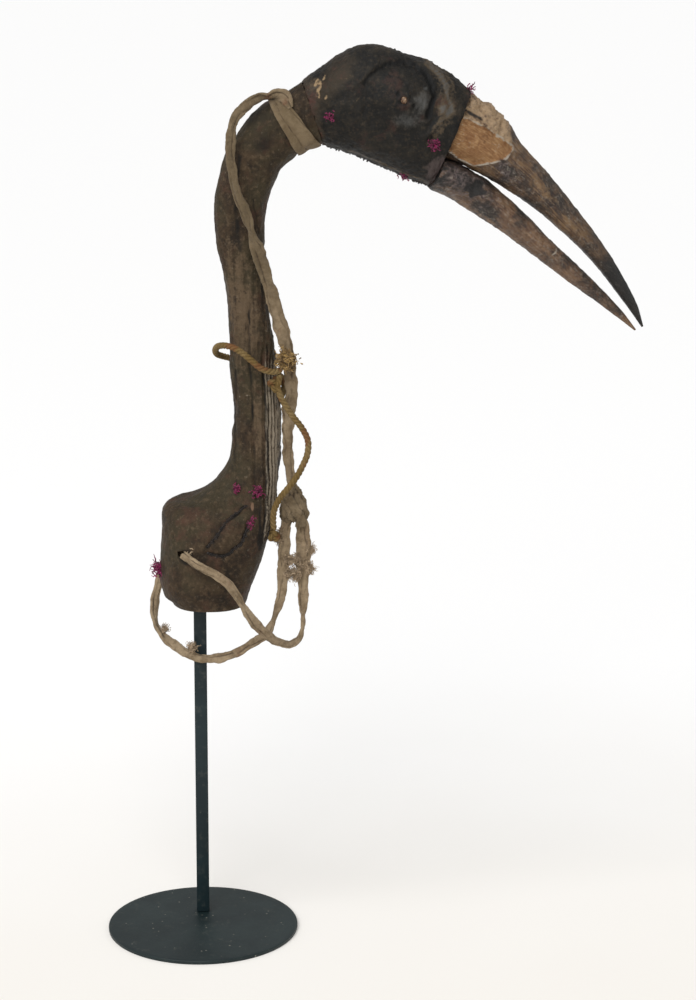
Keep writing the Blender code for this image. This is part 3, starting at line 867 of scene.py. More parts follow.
class Form:
    """A body swept through upright rings along the mid-plane."""

    def __init__(
        self, rings: Sequence[Sequence[float]], unit: float, root: Spot,
        section: Callable[[Array], tuple[Array, Array]],
    ) -> None:
        """Sets the rings out from a root.

        Args:
            rings: Lean, rise, turn in degrees, depth and width of each, as shares of the unit.
            unit: The form's size in metres.
            root: Lean and rise of its root.
            section: The outline of a ring.
        """
        table = np.array(rings, float)
        table[:, [0, 1, 3, 4]] *= unit
        table[:, 0] += root[0]
        table[:, 1] += root[1]
        step = np.diff(table, axis=0)
        turn = np.radians(np.abs(step[:, 2])) * table[1:, 3] * 0.25
        travel = np.sqrt((step[:, :2] ** 2).sum(axis=1) + 0.2 * (step[:, 3:] ** 2).sum(axis=1))
        knots = np.concatenate([[0.0], np.cumsum(travel + turn)])
        self.table = table
        self.knots = knots / knots[-1]
        self.slopes = np.gradient(table, self.knots, axis=0)
        self.section = section

    def ring(self, share: Array) -> Array:
        """Lean, rise, turn, depth and width at shares of the form's length."""
        return glide(self.table, self.knots, self.slopes, np.clip(share, 0.0, 1.0))

    def skin(self, share: Array, angle: Array, inset: Array | float = 0.0) -> Array:
        """Points of the bare skin, set in from it in each ring's plane.

        Args:
            share: Shares of the form's length.
            angle: Angles round it from the near side, in radians.
            inset: How far inside the skin, in metres.

        Returns:
            The points.
        """
        lean, rise, turn, depth, width = self.ring(share).T
        across, up = self.section(angle)
        up = up * (depth / 2 - inset)
        across = across * (width / 2 - inset)
        turn = np.radians(turn)
        return np.stack([lean - up * np.sin(turn), MID_PLANE - across, rise + up * np.cos(turn)], axis=1)

    def outward(self, share: Array, angle: Array) -> Array:
        """The skin's outward directions.

        Args:
            share: Shares of the form's length.
            angle: Angles round it from the near side, in radians.

        Returns:
            One unit direction for each.
        """
        low, high = np.clip(share - 0.004, 0, 1), np.clip(share + 0.004, 0, 1)
        along = self.skin(high, angle) - self.skin(low, angle)
        around = self.skin(share, angle + 0.02) - self.skin(share, angle - 0.02)
        way = np.cross(along, around)
        return way / np.maximum(np.linalg.norm(way, axis=1), 1e-12)[:, None]

    def lifted(self, share: Array, angle: Array, lift: Array | float) -> Array:
        """Points of the skin, lifted off it."""
        lift = np.broadcast_to(lift, share.shape)
        return self.skin(share, angle) + self.outward(share, angle) * lift[:, None]

    def end(self, share: float) -> tuple[Array, Array, Array, float]:
        """One ring's place.

        Args:
            share: The ring's share of the form's length.

        Returns:
            Its middle, its outward direction, its up direction and its depth.
        """
        lean, rise, turn, depth, _ = self.ring(np.array([share]))[0]
        turn = math.radians(turn)
        outward = np.array([math.cos(turn), 0, math.sin(turn)])
        upward = np.array([-math.sin(turn), 0, math.cos(turn)])
        return np.array([lean, MID_PLANE, rise]), outward, upward, depth


def rolled(
    along: int, around: int, place: Callable[[Array, Array], Array], capped: bool = True
) -> bmesh.types.BMesh:
    """A grid that is rolled up round its second direction.

    Args:
        along: Faces along it.
        around: Faces round it.
        place: Gives points from shares along and round, both from 0 to 1.
        capped: Whether its two ends are closed.

    Returns:
        The mesh, with a UV map and its shares laid on it.
    """
    mesh = bmesh.new()
    mesh.loops.layers.uv.new("UVMap")
    bmesh.ops.create_grid(mesh, x_segments=along, y_segments=around, size=0.5, calc_uvs=True)
    spots = np.array([vertex.co[:2] for vertex in mesh.verts]) + 0.5
    share, turn = np.clip(spots[:, 0], 0, 1), np.clip(spots[:, 1], 0, 1)
    points = place(share, np.where(turn > 0.9999, 0.0, turn))
    along_layer = mesh.verts.layers.float.new("along")
    around_layer = mesh.verts.layers.float.new("around")
    for vertex, point, u, v in zip(mesh.verts, points, share, turn):
        vertex.co = point
        vertex[along_layer] = u
        vertex[around_layer] = v
    bmesh.ops.remove_doubles(mesh, verts=mesh.verts, dist=1e-7)
    if capped:
        open_edges = [edge for edge in mesh.edges if edge.is_boundary]
        bmesh.ops.holes_fill(mesh, edges=open_edges, sides=0)
    return mesh


def read_marks(mesh: bpy.types.Mesh) -> tuple[Array, Array, Array]:
    """Every point of a mesh, with its shares along and round the piece.

    Args:
        mesh: The mesh.

    Returns:
        The points, the shares along it and the shares round it.
    """
    points = np.empty(len(mesh.vertices) * 3)
    mesh.vertices.foreach_get("co", points)
    found = []
    for name in ("along", "around"):
        values = np.zeros(len(mesh.vertices))
        if name in mesh.attributes:
            mesh.attributes[name].data.foreach_get("value", values)
        found.append(values)
    return points.reshape(-1, 3), found[0], found[1]


def lay(mesh: bpy.types.Mesh, name: str, values: Array) -> None:
    """Lays a named value on a mesh's points."""
    layer = mesh.attributes.get(name) or mesh.attributes.new(name, "FLOAT", "POINT")
    layer.data.foreach_set("value", np.clip(values, -4, 4).astype(np.float32))


def object_from(name: str, mesh: bmesh.types.BMesh) -> bpy.types.Object:
    """Makes a mesh an object of the scene.

    Args:
        name: Its name.
        mesh: The mesh, which is used up.

    Returns:
        The object.
    """
    data = bpy.data.meshes.new(name)
    mesh.to_mesh(data)
    mesh.free()
    made = bpy.data.objects.new(name, data)
    bpy.context.scene.collection.objects.link(made)
    return made


def piece(
    name: str, mesh: bmesh.types.BMesh, finish: bpy.types.Material,
    stands_for: Sequence[str] = (), sharp: float = 60.0,
) -> bpy.types.Object:
    """Makes a mesh an object that rides on the headdress.

    Args:
        name: The piece's name.
        mesh: Its mesh, which is used up.
        finish: Its material.
        stands_for: The CAD nodes that it replaces.
        sharp: The angle from which an edge stays sharp, in degrees.

    Returns:
        The object.
    """
    bmesh.ops.recalc_face_normals(mesh, faces=mesh.faces)
    made = object_from(name, mesh)
    data = made.data
    data.shade_smooth()
    data.set_sharp_from_angle(angle=math.radians(sharp))
    data.materials.append(finish)
    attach(made, "root")
    if stands_for:
        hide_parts(*stands_for)
    log.info("%s: %d faces", name, len(data.polygons))
    return made


def join(parts: Sequence[bmesh.types.BMesh]) -> bmesh.types.BMesh:
    """Several meshes as one.

    Args:
        parts: The meshes, which are used up.

    Returns:
        The whole.
    """
    whole = bmesh.new()
    whole.loops.layers.uv.new("UVMap")
    for name in ("along", "around"):
        whole.verts.layers.float.new(name)
    for part in parts:
        data = bpy.data.meshes.new("part")
        part.to_mesh(data)
        part.free()
        whole.from_mesh(data)
        bpy.data.meshes.remove(data)
    return whole


def curve_through(route: Sequence[Point], step: float) -> Array:
    """Points at an even step along a smooth curve through a route.

    Args:
        route: The chosen points.
        step: The distance between points.

    Returns:
        The points.
    """
    table = np.array(route, float)
    knots = np.concatenate([[0.0], np.cumsum(np.linalg.norm(np.diff(table, axis=0), axis=1))])
    slopes = np.gradient(table, knots, axis=0)
    at = np.linspace(0, knots[-1], max(int(round(knots[-1] / step)), 4) + 1)
    return glide(table, knots, slopes, at)


def length_of(path: Array) -> float:
    """The length of a path."""
    return float(np.linalg.norm(np.diff(path, axis=0), axis=1).sum())


def box_of(node: str) -> tuple[Array, Array]:
    """Where a solid is.

    Args:
        node: Its CAD node.

    Returns:
        The middle and the half size of its box.
    """
    low, high = (np.array(corner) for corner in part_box(node))
    return (low + high) / 2, (high - low) / 2


def declare(
    made: bpy.types.Object, path: Array
) -> None:
    """Logs the length of a limp cord.

    Args:
        made: The piece.
        path: Its middle, from where it is held.
    """
    log.info("%s measures %.4f m", made.name, length_of(path))


def frames_along(path: Array, facing: Point = (0, 1, 0)) -> tuple[Array, Array]:
    """Directions across a path, the first kept square to a facing direction.

    Args:
        path: The path's points.
        facing: The direction that the first one stays square to.

    Returns:
        The two directions at each point.
    """
    along = np.gradient(path, axis=0)
    along /= np.maximum(np.linalg.norm(along, axis=1), 1e-12)[:, None]
    across = np.cross(along, np.array(facing, float))
    size = np.linalg.norm(across, axis=1)
    for i in range(len(path)):
        if size[i] < 0.25 and i:
            across[i] = across[i - 1] - along[i] * (across[i - 1] @ along[i])
    for _ in range(6):
        across[1:-1] = (across[:-2] + across[1:-1] * 2 + across[2:]) / 4
    across -= along * (across * along).sum(axis=1)[:, None]
    across /= np.maximum(np.linalg.norm(across, axis=1), 1e-12)[:, None]
    return across, np.cross(across, along)


def tube(
    path: Array, radius: Callable[[Array], Array] | float, sides: int = 6, facing: Point = (0, 1, 0),
) -> bmesh.types.BMesh:
    """A round tube along a path, closed at both ends.

    Args:
        path: The path's points.
        radius: Its radius, or a function of the share along it.
        sides: Faces round it.
        facing: See frames_along.

    Returns:
        The mesh.
    """
    across, other = frames_along(path, facing)
    count = len(path) - 1

    def place(share: Array, turn: Array) -> Array:
        """The tube's points.

        Args:
            share: Shares along it.
            turn: Shares round it.

        Returns:
            The points.
        """
        i = np.clip(np.rint(share * count).astype(int), 0, count)
        r = radius(share) if callable(radius) else np.full(len(share), radius)
        angle = turn * math.tau
        return path[i] + r[:, None] * (
            across[i] * np.cos(angle)[:, None] + other[i] * np.sin(angle)[:, None]
        )

    return rolled(count, sides, place)


@dataclass(frozen=True)
class FoldedStrip:
    """A crumpled strip of cloth along a path, folded lengthwise, which twists and narrows.

    Its widths are in millimetres and its turns in degrees, each by the share along it.
    """

    path: Array
    widths: Table
    turns: Table
    seed: float
    thickness: float = 0.0030
    sides: int = 28

    def across(self, turn: Array) -> tuple[Array, Array]:
        """Where a point lies across the strip and which face it is on, both from -1 to 1."""
        angle = turn * math.tau
        return flatten(np.cos(angle), 0.8), flatten(np.sin(angle), 0.6)

    def creases(self, share: Array, turn: Array) -> Array:
        """How deep the cloth is creased.

        Args:
            share: Shares along it.
            turn: Shares round it.

        Returns:
            Depths from 0 to 1.
        """
        side, _ = self.across(turn)
        travel = share * length_of(self.path)
        jitter = rough(np.stack([travel * 90, side, np.zeros_like(side)], axis=1), 1.0, 2, self.seed)
        deep = np.zeros(len(share))
        for i, (middle, swing, pitch) in enumerate(((-0.5, 0.22, 74), (0.05, 0.40, 46), (0.55, 0.20, 92))):
            phase = travel * pitch + self.seed * (i + 1) * 1.7
            at = middle + swing * np.sin(phase) + 0.25 * jitter
            deep += np.exp(-(((side - at) / 0.15) ** 2)) * (0.65 + 0.35 * np.sin(travel * 70 + i * 2))
        return np.clip(deep, 0, 1)

    def place(self, share: Array, turn: Array) -> Array:
        """The cloth's points.

        Args:
            share: Shares along it.
            turn: Shares round it.

        Returns:
            The points.
        """
        count = len(self.path) - 1
        across, other = frames_along(self.path)
        i = np.clip(np.rint(share * count).astype(int), 0, count)
        side, face = self.across(turn)
        travel = share * length_of(self.path)
        zero = np.zeros_like(travel)
        edge = rough(np.stack([travel * 115, np.sign(side) * 4, zero], axis=1), 1.0, 4, self.seed)
        sway = rough(np.stack([travel * 60, zero, zero + 9], axis=1), 1.0, 2, self.seed)
        swell = rough(np.stack([travel * 110, side * 1.5, face * 0.5 + 5], axis=1), 1.0, 3, self.seed)
        wide = np.array(self.widths, float)
        half = np.interp(share, wide[:, 0], wide[:, 1]) * MM / 2 * (1 + 0.26 * edge)
        turned = np.array(self.turns, float)
        twist = np.radians(np.interp(share, turned[:, 0], turned[:, 1]) + 50 * sway)
        deep = self.creases(share, turn)
        a = side * half + 0.0007 * sway
        b = face * self.thickness / 2 * (1.05 - 0.75 * deep + 0.38 * swell)
        b = b + 0.10 * self.thickness * np.sin(travel * 120 + self.seed) * side
        x = a * np.cos(twist) - b * np.sin(twist)
        y = a * np.sin(twist) + b * np.cos(twist)
        return self.path[i] + across[i] * x[:, None] + other[i] * y[:, None]

    def mesh(self) -> bmesh.types.BMesh:
        """The cloth."""
        return rolled(len(self.path) - 1, self.sides, self.place)

    def lay_marks(self, mesh: bpy.types.Mesh, soil: float, grime: Table) -> None:
        """Lays painted shade in the cloth's folds and along its hems, and where it is worn and soiled.

        Args:
            mesh: The cloth.
            soil: How soiled its first part is.
            grime: Share along it and how dark it is with old dirt there.
        """
        points, along, around = read_marks(mesh)
        side, _ = self.across(around)
        hem = smooth(np.abs(side), 0.80, 1.0)
        # painted shade in the creases and along the hems
        lay(mesh, "fold", 0.95 * self.creases(along, around) - 0.15 + 0.45 * hem)
        lay(mesh, "worn", 0.8 * smooth(rough(points, 240, 3, self.seed + 5), 0.05, 0.5))
        spots = 0.5 * smooth(rough(points, 60, 2, self.seed), 0.15, 0.6)
        lay(mesh, "soil", soil * (1 - smooth(along, 0.06, 0.22)) + spots)
        dull = np.array(grime, float)
        lay(mesh, "grime", np.interp(along, dull[:, 0], dull[:, 1]))


def strands(
    path: Array, diameter: float, lay_length: float, count: int = 3, sides: int = 8
) -> list[bmesh.types.BMesh]:
    """The twisted strands of a rope along a path.

    Args:
        path: The rope's middle.
        diameter: The rope's diameter.
        lay_length: How far along a strand goes once round.
        count: How many strands it has.
        sides: Faces round a strand.

    Returns:
        One mesh a strand.
    """
    across, other = frames_along(path)
    travel = np.concatenate([[0.0], np.cumsum(np.linalg.norm(np.diff(path, axis=0), axis=1))])
    share = 1 / (1 + 1 / math.sin(math.pi / count))
    thick = diameter / 2 * share * 1.12
    reach = diameter / 2 - thick
    made = []
    for i in range(count):
        angle = travel / lay_length * math.tau + i * math.tau / count
        line = path + reach * (across * np.cos(angle)[:, None] + other * np.sin(angle)[:, None])
        made.append(tube(line, thick, sides))
    return made


class Surface:
    """A finished skin that details are laid on."""

    def __init__(self, made: bpy.types.Object) -> None:
        """Reads an object's mesh.

        Args:
            made: The object.
        """
        graph = bpy.context.evaluated_depsgraph_get()
        self.tree = BVHTree.FromObject(made, graph)

    def from_side(self, lean: float, rise: float, side: Side) -> tuple[Vector, Vector] | None:
        """The skin's point and outward direction, seen level from one side.

        Args:
            lean: X of the sight line.
            rise: Z of the sight line.
            side: The side that it comes from.

        Returns:
            Point and direction, or None where it misses.
        """
        start = Vector((lean, MID_PLANE + side.value * 0.3, rise))
        point, way, _, _ = self.tree.ray_cast(start, Vector((0, -side.value, 0)))
        return None if point is None else (point, way)

    def nearest(self, place: Sequence[float]) -> tuple[Vector, Vector]:
        """The skin's nearest place.

        Args:
            place: Where it is looked for.

        Returns:
            Point and outward direction.
        """
        point, way, _, _ = self.tree.find_nearest(Vector(place))
        return point, way

    def trace(self, line: Line, step: float, lift: float, side: Side) -> Array:
        """A line that is chosen in the side view, laid on the skin.

        Args:
            line: Lean and rise of its corners, in millimetres.
            step: The distance between its points.
            lift: How far off the skin it lies.
            side: The side that it is on.

        Returns:
            The points.
        """
        flat = curve_through([(x * MM, 0.0, z * MM) for x, z in line], step)
        found = [self.from_side(x, z, side) for x, _, z in flat]
        return np.array([hit[0] + hit[1] * lift for hit in found if hit is not None])


def fibres(
    places: Sequence[tuple[Vector, Vector]], count: int, length: float, radius: float, seed: int,
    curl: float = 0.5, spread: float = 0.002, sides: int = 4,
) -> bmesh.types.BMesh:
    """Loose curled threads that stand out of chosen places.

    Args:
        places: Point and outward direction of each.
        count: Threads in all.
        length: The longest thread.
        radius: A thread's radius.
        seed: The random seed.
        curl: How much a thread wanders.
        spread: How far from a place a thread may start.
        sides: Faces round a thread.

    Returns:
        One mesh.
    """
    dice = np.random.default_rng(seed)
    made = []
    for i in range(count):
        point, way = places[i % len(places)]
        way = np.array(way, float)
        start = np.array(point, float) + dice.normal(0, spread, 3)
        heading = way + dice.normal(0, 0.6, 3)
        line = [start]
        step = length * dice.uniform(0.45, 1.0) / 5
        for _ in range(5):
            heading = heading / np.linalg.norm(heading)
            line.append(line[-1] + heading * step)
            heading = heading + dice.normal(0, curl, 3) + way * 0.15
        made.append(tube(np.array(line), lambda s: radius * (1.05 - 0.55 * s), sides, (0.1, 0.9, 0.3)))
    return join(made)


# Sub-assemblies


@dataclass
class Studio:
    """Camera, lights and floor."""

    finishes: Finishes
    camera_place: Point = (0.005, -1.864, 0.794)
    pitch: float = 13.43
    yaw: float = 3.36
    roll: float = 0.19
    lens: float = 90.0
    air: float = 0.50
    window: float = 2.25
    window_breadth: float = 60.0
    window_side: Point = (-0.42, -0.70, 0.90)

    def place_camera(self) -> None:
        """Sets the camera at the photograph's view."""
        data = bpy.data.cameras.new("camera")
        data.lens = self.lens
        data.sensor_width = 36.0
        data.sensor_fit = "AUTO"
        data.clip_end = 100.0
        camera = bpy.data.objects.new("camera", data)
        pitch, yaw, roll = (math.radians(angle) for angle in (self.pitch, self.yaw, self.roll))
        ahead = Vector((math.sin(yaw) * math.cos(pitch), math.cos(yaw) * math.cos(pitch), -math.sin(pitch)))
        right = ahead.cross(Vector((0, 0, 1))).normalized()
        up = right.cross(ahead)
        turned_right = right * math.cos(roll) + up * math.sin(roll)
        turned_up = up * math.cos(roll) - right * math.sin(roll)
        turn = Matrix((turned_right, turned_up, -ahead)).transposed()
        camera.matrix_world = Matrix.Translation(self.camera_place) @ turn.to_4x4()
        bpy.context.scene.collection.objects.link(camera)
        bpy.context.scene.camera = camera

    def add_softbox(self, name: str, place: Point, target: Point, size: float, power: float) -> None:
        """A square soft light.

        Args:
            name: Its name.
            place: Where it stands.
            target: What it points at.
            size: The length of its side.
            power: Its power in watts.
        """
        data = bpy.data.lights.new(name, "AREA")
        data.shape = "SQUARE"
        data.size = size
        data.energy = power
        light = bpy.data.objects.new(name, data)
        light.matrix_world = Matrix.Translation(place) @ (
            (Vector(place) - Vector(target)).to_track_quat("Z", "Y").to_matrix().to_4x4()
        )
        bpy.context.scene.collection.objects.link(light)

    def light(self) -> None:
        """White walls, a broad high window to the left of the camera and a softbox by it."""
        world = bpy.data.worlds.new("studio_air")
        bpy.context.scene.world = world
        world.use_nodes = True
        sky = world.node_tree.nodes["Background"]
        sky.inputs["Color"].default_value = (1.0, 0.995, 0.985, 1.0)
        sky.inputs["Strength"].default_value = self.air
        data = bpy.data.lights.new("high_window", "SUN")
        data.energy = self.window
        data.angle = math.radians(self.window_breadth)
        lamp = bpy.data.objects.new("high_window", data)
        lamp.matrix_world = Vector(self.window_side).to_track_quat("Z", "Y").to_matrix().to_4x4()
        bpy.context.scene.collection.objects.link(lamp)
        self.add_softbox("softbox_front", (-0.5, -1.7, 1.3), (0.08, 0.0, 0.40), 0.8, 7.0)
        bpy.context.scene.view_settings.view_transform = "Standard"

    def lay_floor(self) -> None:
        """A wide pale floor."""
        mesh = bmesh.new()
        bmesh.ops.create_grid(mesh, x_segments=8, y_segments=8, size=60.0)
        floor = object_from("floor", mesh)
        floor.data.materials.append(self.finishes.ground)

    def build(self) -> None:
        """Sets up the studio."""
        self.place_camera()
        self.light()
        self.lay_floor()


@dataclass
class Stand:
    """The steel stand: a square rod on a round foot."""

    finishes: Finishes
    foot_radius: float = 0.075
    foot_thickness: float = 0.003
    edge: float = 0.0006
    rod_side: float = 0.010

    def build_foot(self) -> None:
        """The foot, turned with a softly broken edge."""
        mesh = bmesh.new()
        bmesh.ops.create_cone(
            mesh, cap_ends=True, segments=144, radius1=self.foot_radius, radius2=self.foot_radius,
            depth=self.foot_thickness, matrix=Matrix.Translation((0, 0, self.foot_thickness / 2)),
        )
        caps = [face for face in mesh.faces if abs(face.normal.z) > 0.9]
        bmesh.ops.inset_individual(mesh, faces=caps, thickness=0.004, depth=0.0)
        rim = [
            edge
            for edge in mesh.edges
            if abs(edge.verts[0].co.z - edge.verts[1].co.z) < 1e-7
            and all(abs(v.co.xy.length - self.foot_radius) < 1e-5 for v in edge.verts)
        ]
        bmesh.ops.bevel(
            mesh, geom=rim, offset=self.edge, segments=3, profile=0.5, affect="EDGES", material=-1
        )
        made = piece("foot_disc", mesh, self.finishes.foot, ["stand_foot"], 30)
        points = read_marks(made.data)[0]
        lay(made.data, "rim", smooth(np.hypot(points[:, 0], points[:, 1]), 0.060, 0.074))

    def build_rod(self) -> None:
        """The rod, with its edges softened by paint."""
        low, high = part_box("stand_rod")
        mesh = bmesh.new()
        bmesh.ops.create_cube(mesh, size=1.0)
        bmesh.ops.scale(mesh, verts=mesh.verts, vec=(self.rod_side, self.rod_side, high.z - low.z))
        bmesh.ops.translate(mesh, verts=mesh.verts, vec=(0, MID_PLANE, (low.z + high.z) / 2))
        bmesh.ops.bevel(
            mesh, geom=mesh.edges, offset=self.edge, segments=3, profile=0.5, affect="EDGES", material=-1
        )
        piece("square_rod", mesh, self.finishes.rod, ["stand_rod"], 30)

    def build(self) -> None:
        """Builds the stand."""
        self.build_foot()
        self.build_rod()


NECK_HEIGHT = 0.377
HEAD_LENGTH = 0.110
BILL_LENGTH = 0.212
BILL_GAP = 0.0012
BILL_PARTING = -0.205

# Lean, rise, turn in degrees, depth and width of each ring, as shares of the form's size
NECK_RINGS = (
    (0.020, 0.000, 90, 0.154, 0.196), (0.015, 0.021, 90, 0.178, 0.213), (0.025, 0.095, 90, 0.210, 0.224),
    (0.036, 0.157, 90, 0.224, 0.217), (0.040, 0.189, 90, 0.229, 0.201), (0.050, 0.207, 90, 0.216, 0.176),
    (0.074, 0.222, 90, 0.170, 0.148), (0.095, 0.246, 90, 0.133, 0.125), (0.109, 0.279, 90, 0.110, 0.108),
    (0.119, 0.358, 90, 0.095, 0.095), (0.112, 0.493, 90, 0.092, 0.090), (0.096, 0.684, 90, 0.085, 0.087),
    (0.088, 0.735, 90, 0.094, 0.092), (0.092, 0.822, 90, 0.106, 0.098), (0.113, 0.898, 77, 0.113, 0.103),
    (0.133, 0.928, 61, 0.115, 0.106), (0.154, 0.954, 45, 0.120, 0.109), (0.208, 0.988, 22, 0.119, 0.113),
    (0.233, 1.000, 19, 0.127, 0.117),
)
HEAD_RINGS = (
    (0.000, 0.000, 19, 0.443, 0.410), (0.086, 0.032, 10, 0.526, 0.480), (0.223, 0.066, 5, 0.670, 0.560),
    (0.423, 0.059, 3, 0.809, 0.600), (0.605, -0.005, 0, 0.827, 0.600), (0.745, -0.055, -6, 0.805, 0.560),
    (0.848, -0.111, -14, 0.755, 0.505), (0.945, -0.182, -22.5, 0.689, 0.436),
)
UPPER_BILL_RINGS = (
    (0.000, 0.000, -22.5, 0.247, 0.212), (0.064, -0.033, -27, 0.232, 0.203),
    (0.127, -0.077, -34, 0.207, 0.184), (0.184, -0.131, -37, 0.168, 0.165),
    (0.264, -0.198, -45, 0.139, 0.142), (0.415, -0.343, -51, 0.094, 0.104),
    (0.543, -0.491, -59, 0.064, 0.068), (0.611, -0.589, -63, 0.048, 0.047),
    (0.654, -0.656, -66, 0.034, 0.032), (0.690, -0.728, -68, 0.008, 0.007),
)
LOWER_BILL_RINGS = (
    (0.000, 0.000, -22.5, 0.097, 0.189), (0.070, -0.036, -33, 0.120, 0.170),
    (0.119, -0.064, -34, 0.125, 0.156), (0.190, -0.114, -40, 0.119, 0.139),
    (0.285, -0.188, -40, 0.103, 0.118), (0.375, -0.265, -42, 0.085, 0.094),
    (0.497, -0.367, -45, 0.066, 0.068), (0.610, -0.462, -50, 0.045, 0.042),
    (0.678, -0.523, -52, 0.027, 0.026), (0.732, -0.576, -52, 0.007, 0.007),
)


class Forms:
    """The four swept bodies, each rooted on the one before it."""

    def __init__(self) -> None:
        """Sets them out as the solids are."""
        self.neck = Form(NECK_RINGS, NECK_HEIGHT, (0.0, RIM_HEIGHT), neck_section)
        middle, outward, _, _ = self.neck.end(1.0)
        root = middle + outward * CLEAR
        self.head = Form(HEAD_RINGS, HEAD_LENGTH, (root[0], root[2]), head_section)
        front, outward, upward, depth = self.head.end(1.0)
        parting = front + outward * CLEAR + upward * (depth * BILL_PARTING)
        upper = parting + upward * (BILL_GAP / 2 + UPPER_BILL_RINGS[0][3] * BILL_LENGTH / 2)
        lower = parting - upward * (BILL_GAP / 2 + LOWER_BILL_RINGS[0][3] * BILL_LENGTH / 2)
        self.upper = Form(UPPER_BILL_RINGS, BILL_LENGTH, (upper[0], upper[2]), upper_bill_section)
        self.lower = Form(LOWER_BILL_RINGS, BILL_LENGTH, (lower[0], lower[2]), lower_bill_section)


@dataclass
class NeckAndCup:
    """The hide cup and neck: hollow below, seamed in front, patched and stitched."""

    finishes: Finishes
    form: Form
    wall: float = 0.005
    cup_depth: float = 0.066
    hole: float = 0.0078
    hole_place: Spot = (-0.0100, 0.3076)
    hole_slant: Point = (0.50, -0.80, -0.32)
    hole_rim: float = 0.0062
    rings: int = 330
    sides: int = 184
    inner: float = 0.13
    lip: float = 0.025
    waver: Spot = (0.0013, 110)
    strip_heights: tuple[float, ...] = (0.3126, 0.3325, 0.3628, 0.3938, 0.4248, 0.4500, 0.4900)
    strip_edge: tuple[float, ...] = (0.0478, 0.0508, 0.0518, 0.0520, 0.0515, 0.0510, 0.0530)
    strip_breadth: float = 0.0100
    crests: Table = (
        (-0.30, 0.7, 0.12), (0.04, 1.0, 0.13), (0.30, 0.9, 0.12), (0.55, 1.0, 0.13), (0.80, 0.8, 0.12),
        (1.02, 1.0, 0.13),
    )
    dart_upper: Line = (
        (36.8, 344.3), (33.0, 342.5), (26.0, 338.6), (19.8, 333.2), (16.8, 328.8), (13.7, 324.5),
        (9.8, 319.9), (6.7, 316.0),
    )
    dart_lower: Line = (
        (38.2, 332.9), (36.6, 327.8), (33.5, 320.4), (30.4, 316.0), (25.8, 313.3), (19.6, 308.9),
        (11.2, 309.2), (5.9, 311.4),
    )
    crease: Line = ((39.5, 500.0), (40.0, 456.1), (41.4, 425.1), (42.7, 394.2), (43.8, 348.7))
    patch_left: Line = ((29.0, 448.0), (28.5, 410.0), (27.5, 370.0), (30.0, 353.0))
    lip_inner: Line = (
        (50.0, 450.0), (52.1, 424.8), (52.7, 393.8), (52.5, 362.8), (50.5, 332.5), (47.0, 310.3),
    )
    upper_crease: Line = ((43.0, 578.4), (46.7, 558.5), (49.0, 542.6), (50.0, 500.0), (53.0, 460.0))
    sunk_lines: Lines = (
        (1.0, 2.0, crease), (0.8, 1.6, upper_crease), (0.6, 1.4, patch_left), (1.3, 2.4, dart_upper),
        (1.3, 2.4, dart_lower),
    )
    # Painted shade along the front edge and in its creases, broken into lengths
    crease_shadow_lines: Lines = (
        (0.9, 2.0, crease), (0.75, 1.6, upper_crease), (0.7, 1.8, patch_left),
        (1.0, 2.4, ((46.9, 356.0), (46.7, 333.9), (45.9, 310.3))),
        (0.8, 4.0, ((33.0, 610.0), (30.0, 570.0), (33.0, 540.0))),
    )
    # Painted shade in the dart grooves and along the inner edge of the front lip
    groove_shade_lines: Lines = ((0.9, 2.0, lip_inner), (1.4, 2.1, dart_upper), (1.4, 2.1, dart_lower))
    scratches: Lines = ((0.9, 1.4, ((32.3, 427.7), (39.9, 429.8))),)
    swellings: Table = (
        (1.0, 22, 325, 20, 10, 40), (4.2, -27.5, 345.5, 10, 7.5, 45), (1.2, -27, 269, 9, 8, 0),
    )
    pale_spots: Table = (
        (0.85, 38, 480, 70, 22, 90), (0.85, 47, 400, 60, 8, 90), (0.60, 28, 520, 50, 14, 90),
        (0.45, 22, 420, 60, 8, 90), (0.35, -6, 331, 30, 10, 0), (0.30, 35, 585, 30, 30, 0),
    )
    dark_spots: Table = (
        (0.55, 50, 618, 18, 12, 40), (0.50, 26, 548, 20, 10, 80), (0.55, 58, 604, 30, 10, 50),
        (0.45, 40, 640, 22, 10, 20),
    )
    warm_spots: Table = (
        (0.6, -14, 334, 14, 10, 0), (0.4, 12, 313, 18, 12, 0), (0.5, -20, 292, 10, 16, 0),
        (0.4, 30, 590, 30, 20, 0), (0.5, 30, 283, 18, 14, 0),
    )
    amber_lump: Table = ((1.4, 41.2, 344.0, 2.2, 5.8, 0),)

    def place(self, share: Array, turn: Array) -> Array:
        """The skin, from the cup's roof down inside, round its lip and up to the nape.

        Args:
            share: Shares along it.
            turn: Shares round it.

        Returns:
            The points.
        """
        angle = turn * math.tau
        inside = share < self.inner
        lip = (share >= self.inner) & (share < self.inner + self.lip)
        bend = (share - self.inner) / self.lip * math.pi
        up = (share - self.inner - self.lip) / (1 - self.inner - self.lip)
        at = np.where(inside, self.roof_share() * (1 - share / self.inner), np.where(lip, 0.0, up))
        inset = np.where(inside, self.wall, np.where(lip, self.wall / 2 * (1 + np.cos(bend)), 0.0))
        points = self.form.skin(at, angle, inset)
        points[:, 2] -= np.where(lip, 0.3 * self.wall * np.sin(bend), 0.0)
        lift = self.relief(points) * np.where(inside | lip, 0.0, 1.0) * smooth(up, 0.0, 0.01)
        lift += np.where(inside, -0.0006 * rough(points, 90, 3, 5), 0.0)
        return points + self.form.outward(at, angle) * lift[:, None]

    def roof_share(self) -> float:
        """The share of the form where the cup's hollow ends."""
        shares = np.linspace(0, 1, 400)
        return float(np.interp(RIM_HEIGHT + self.cup_depth, self.form.ring(shares)[:, 1], shares))

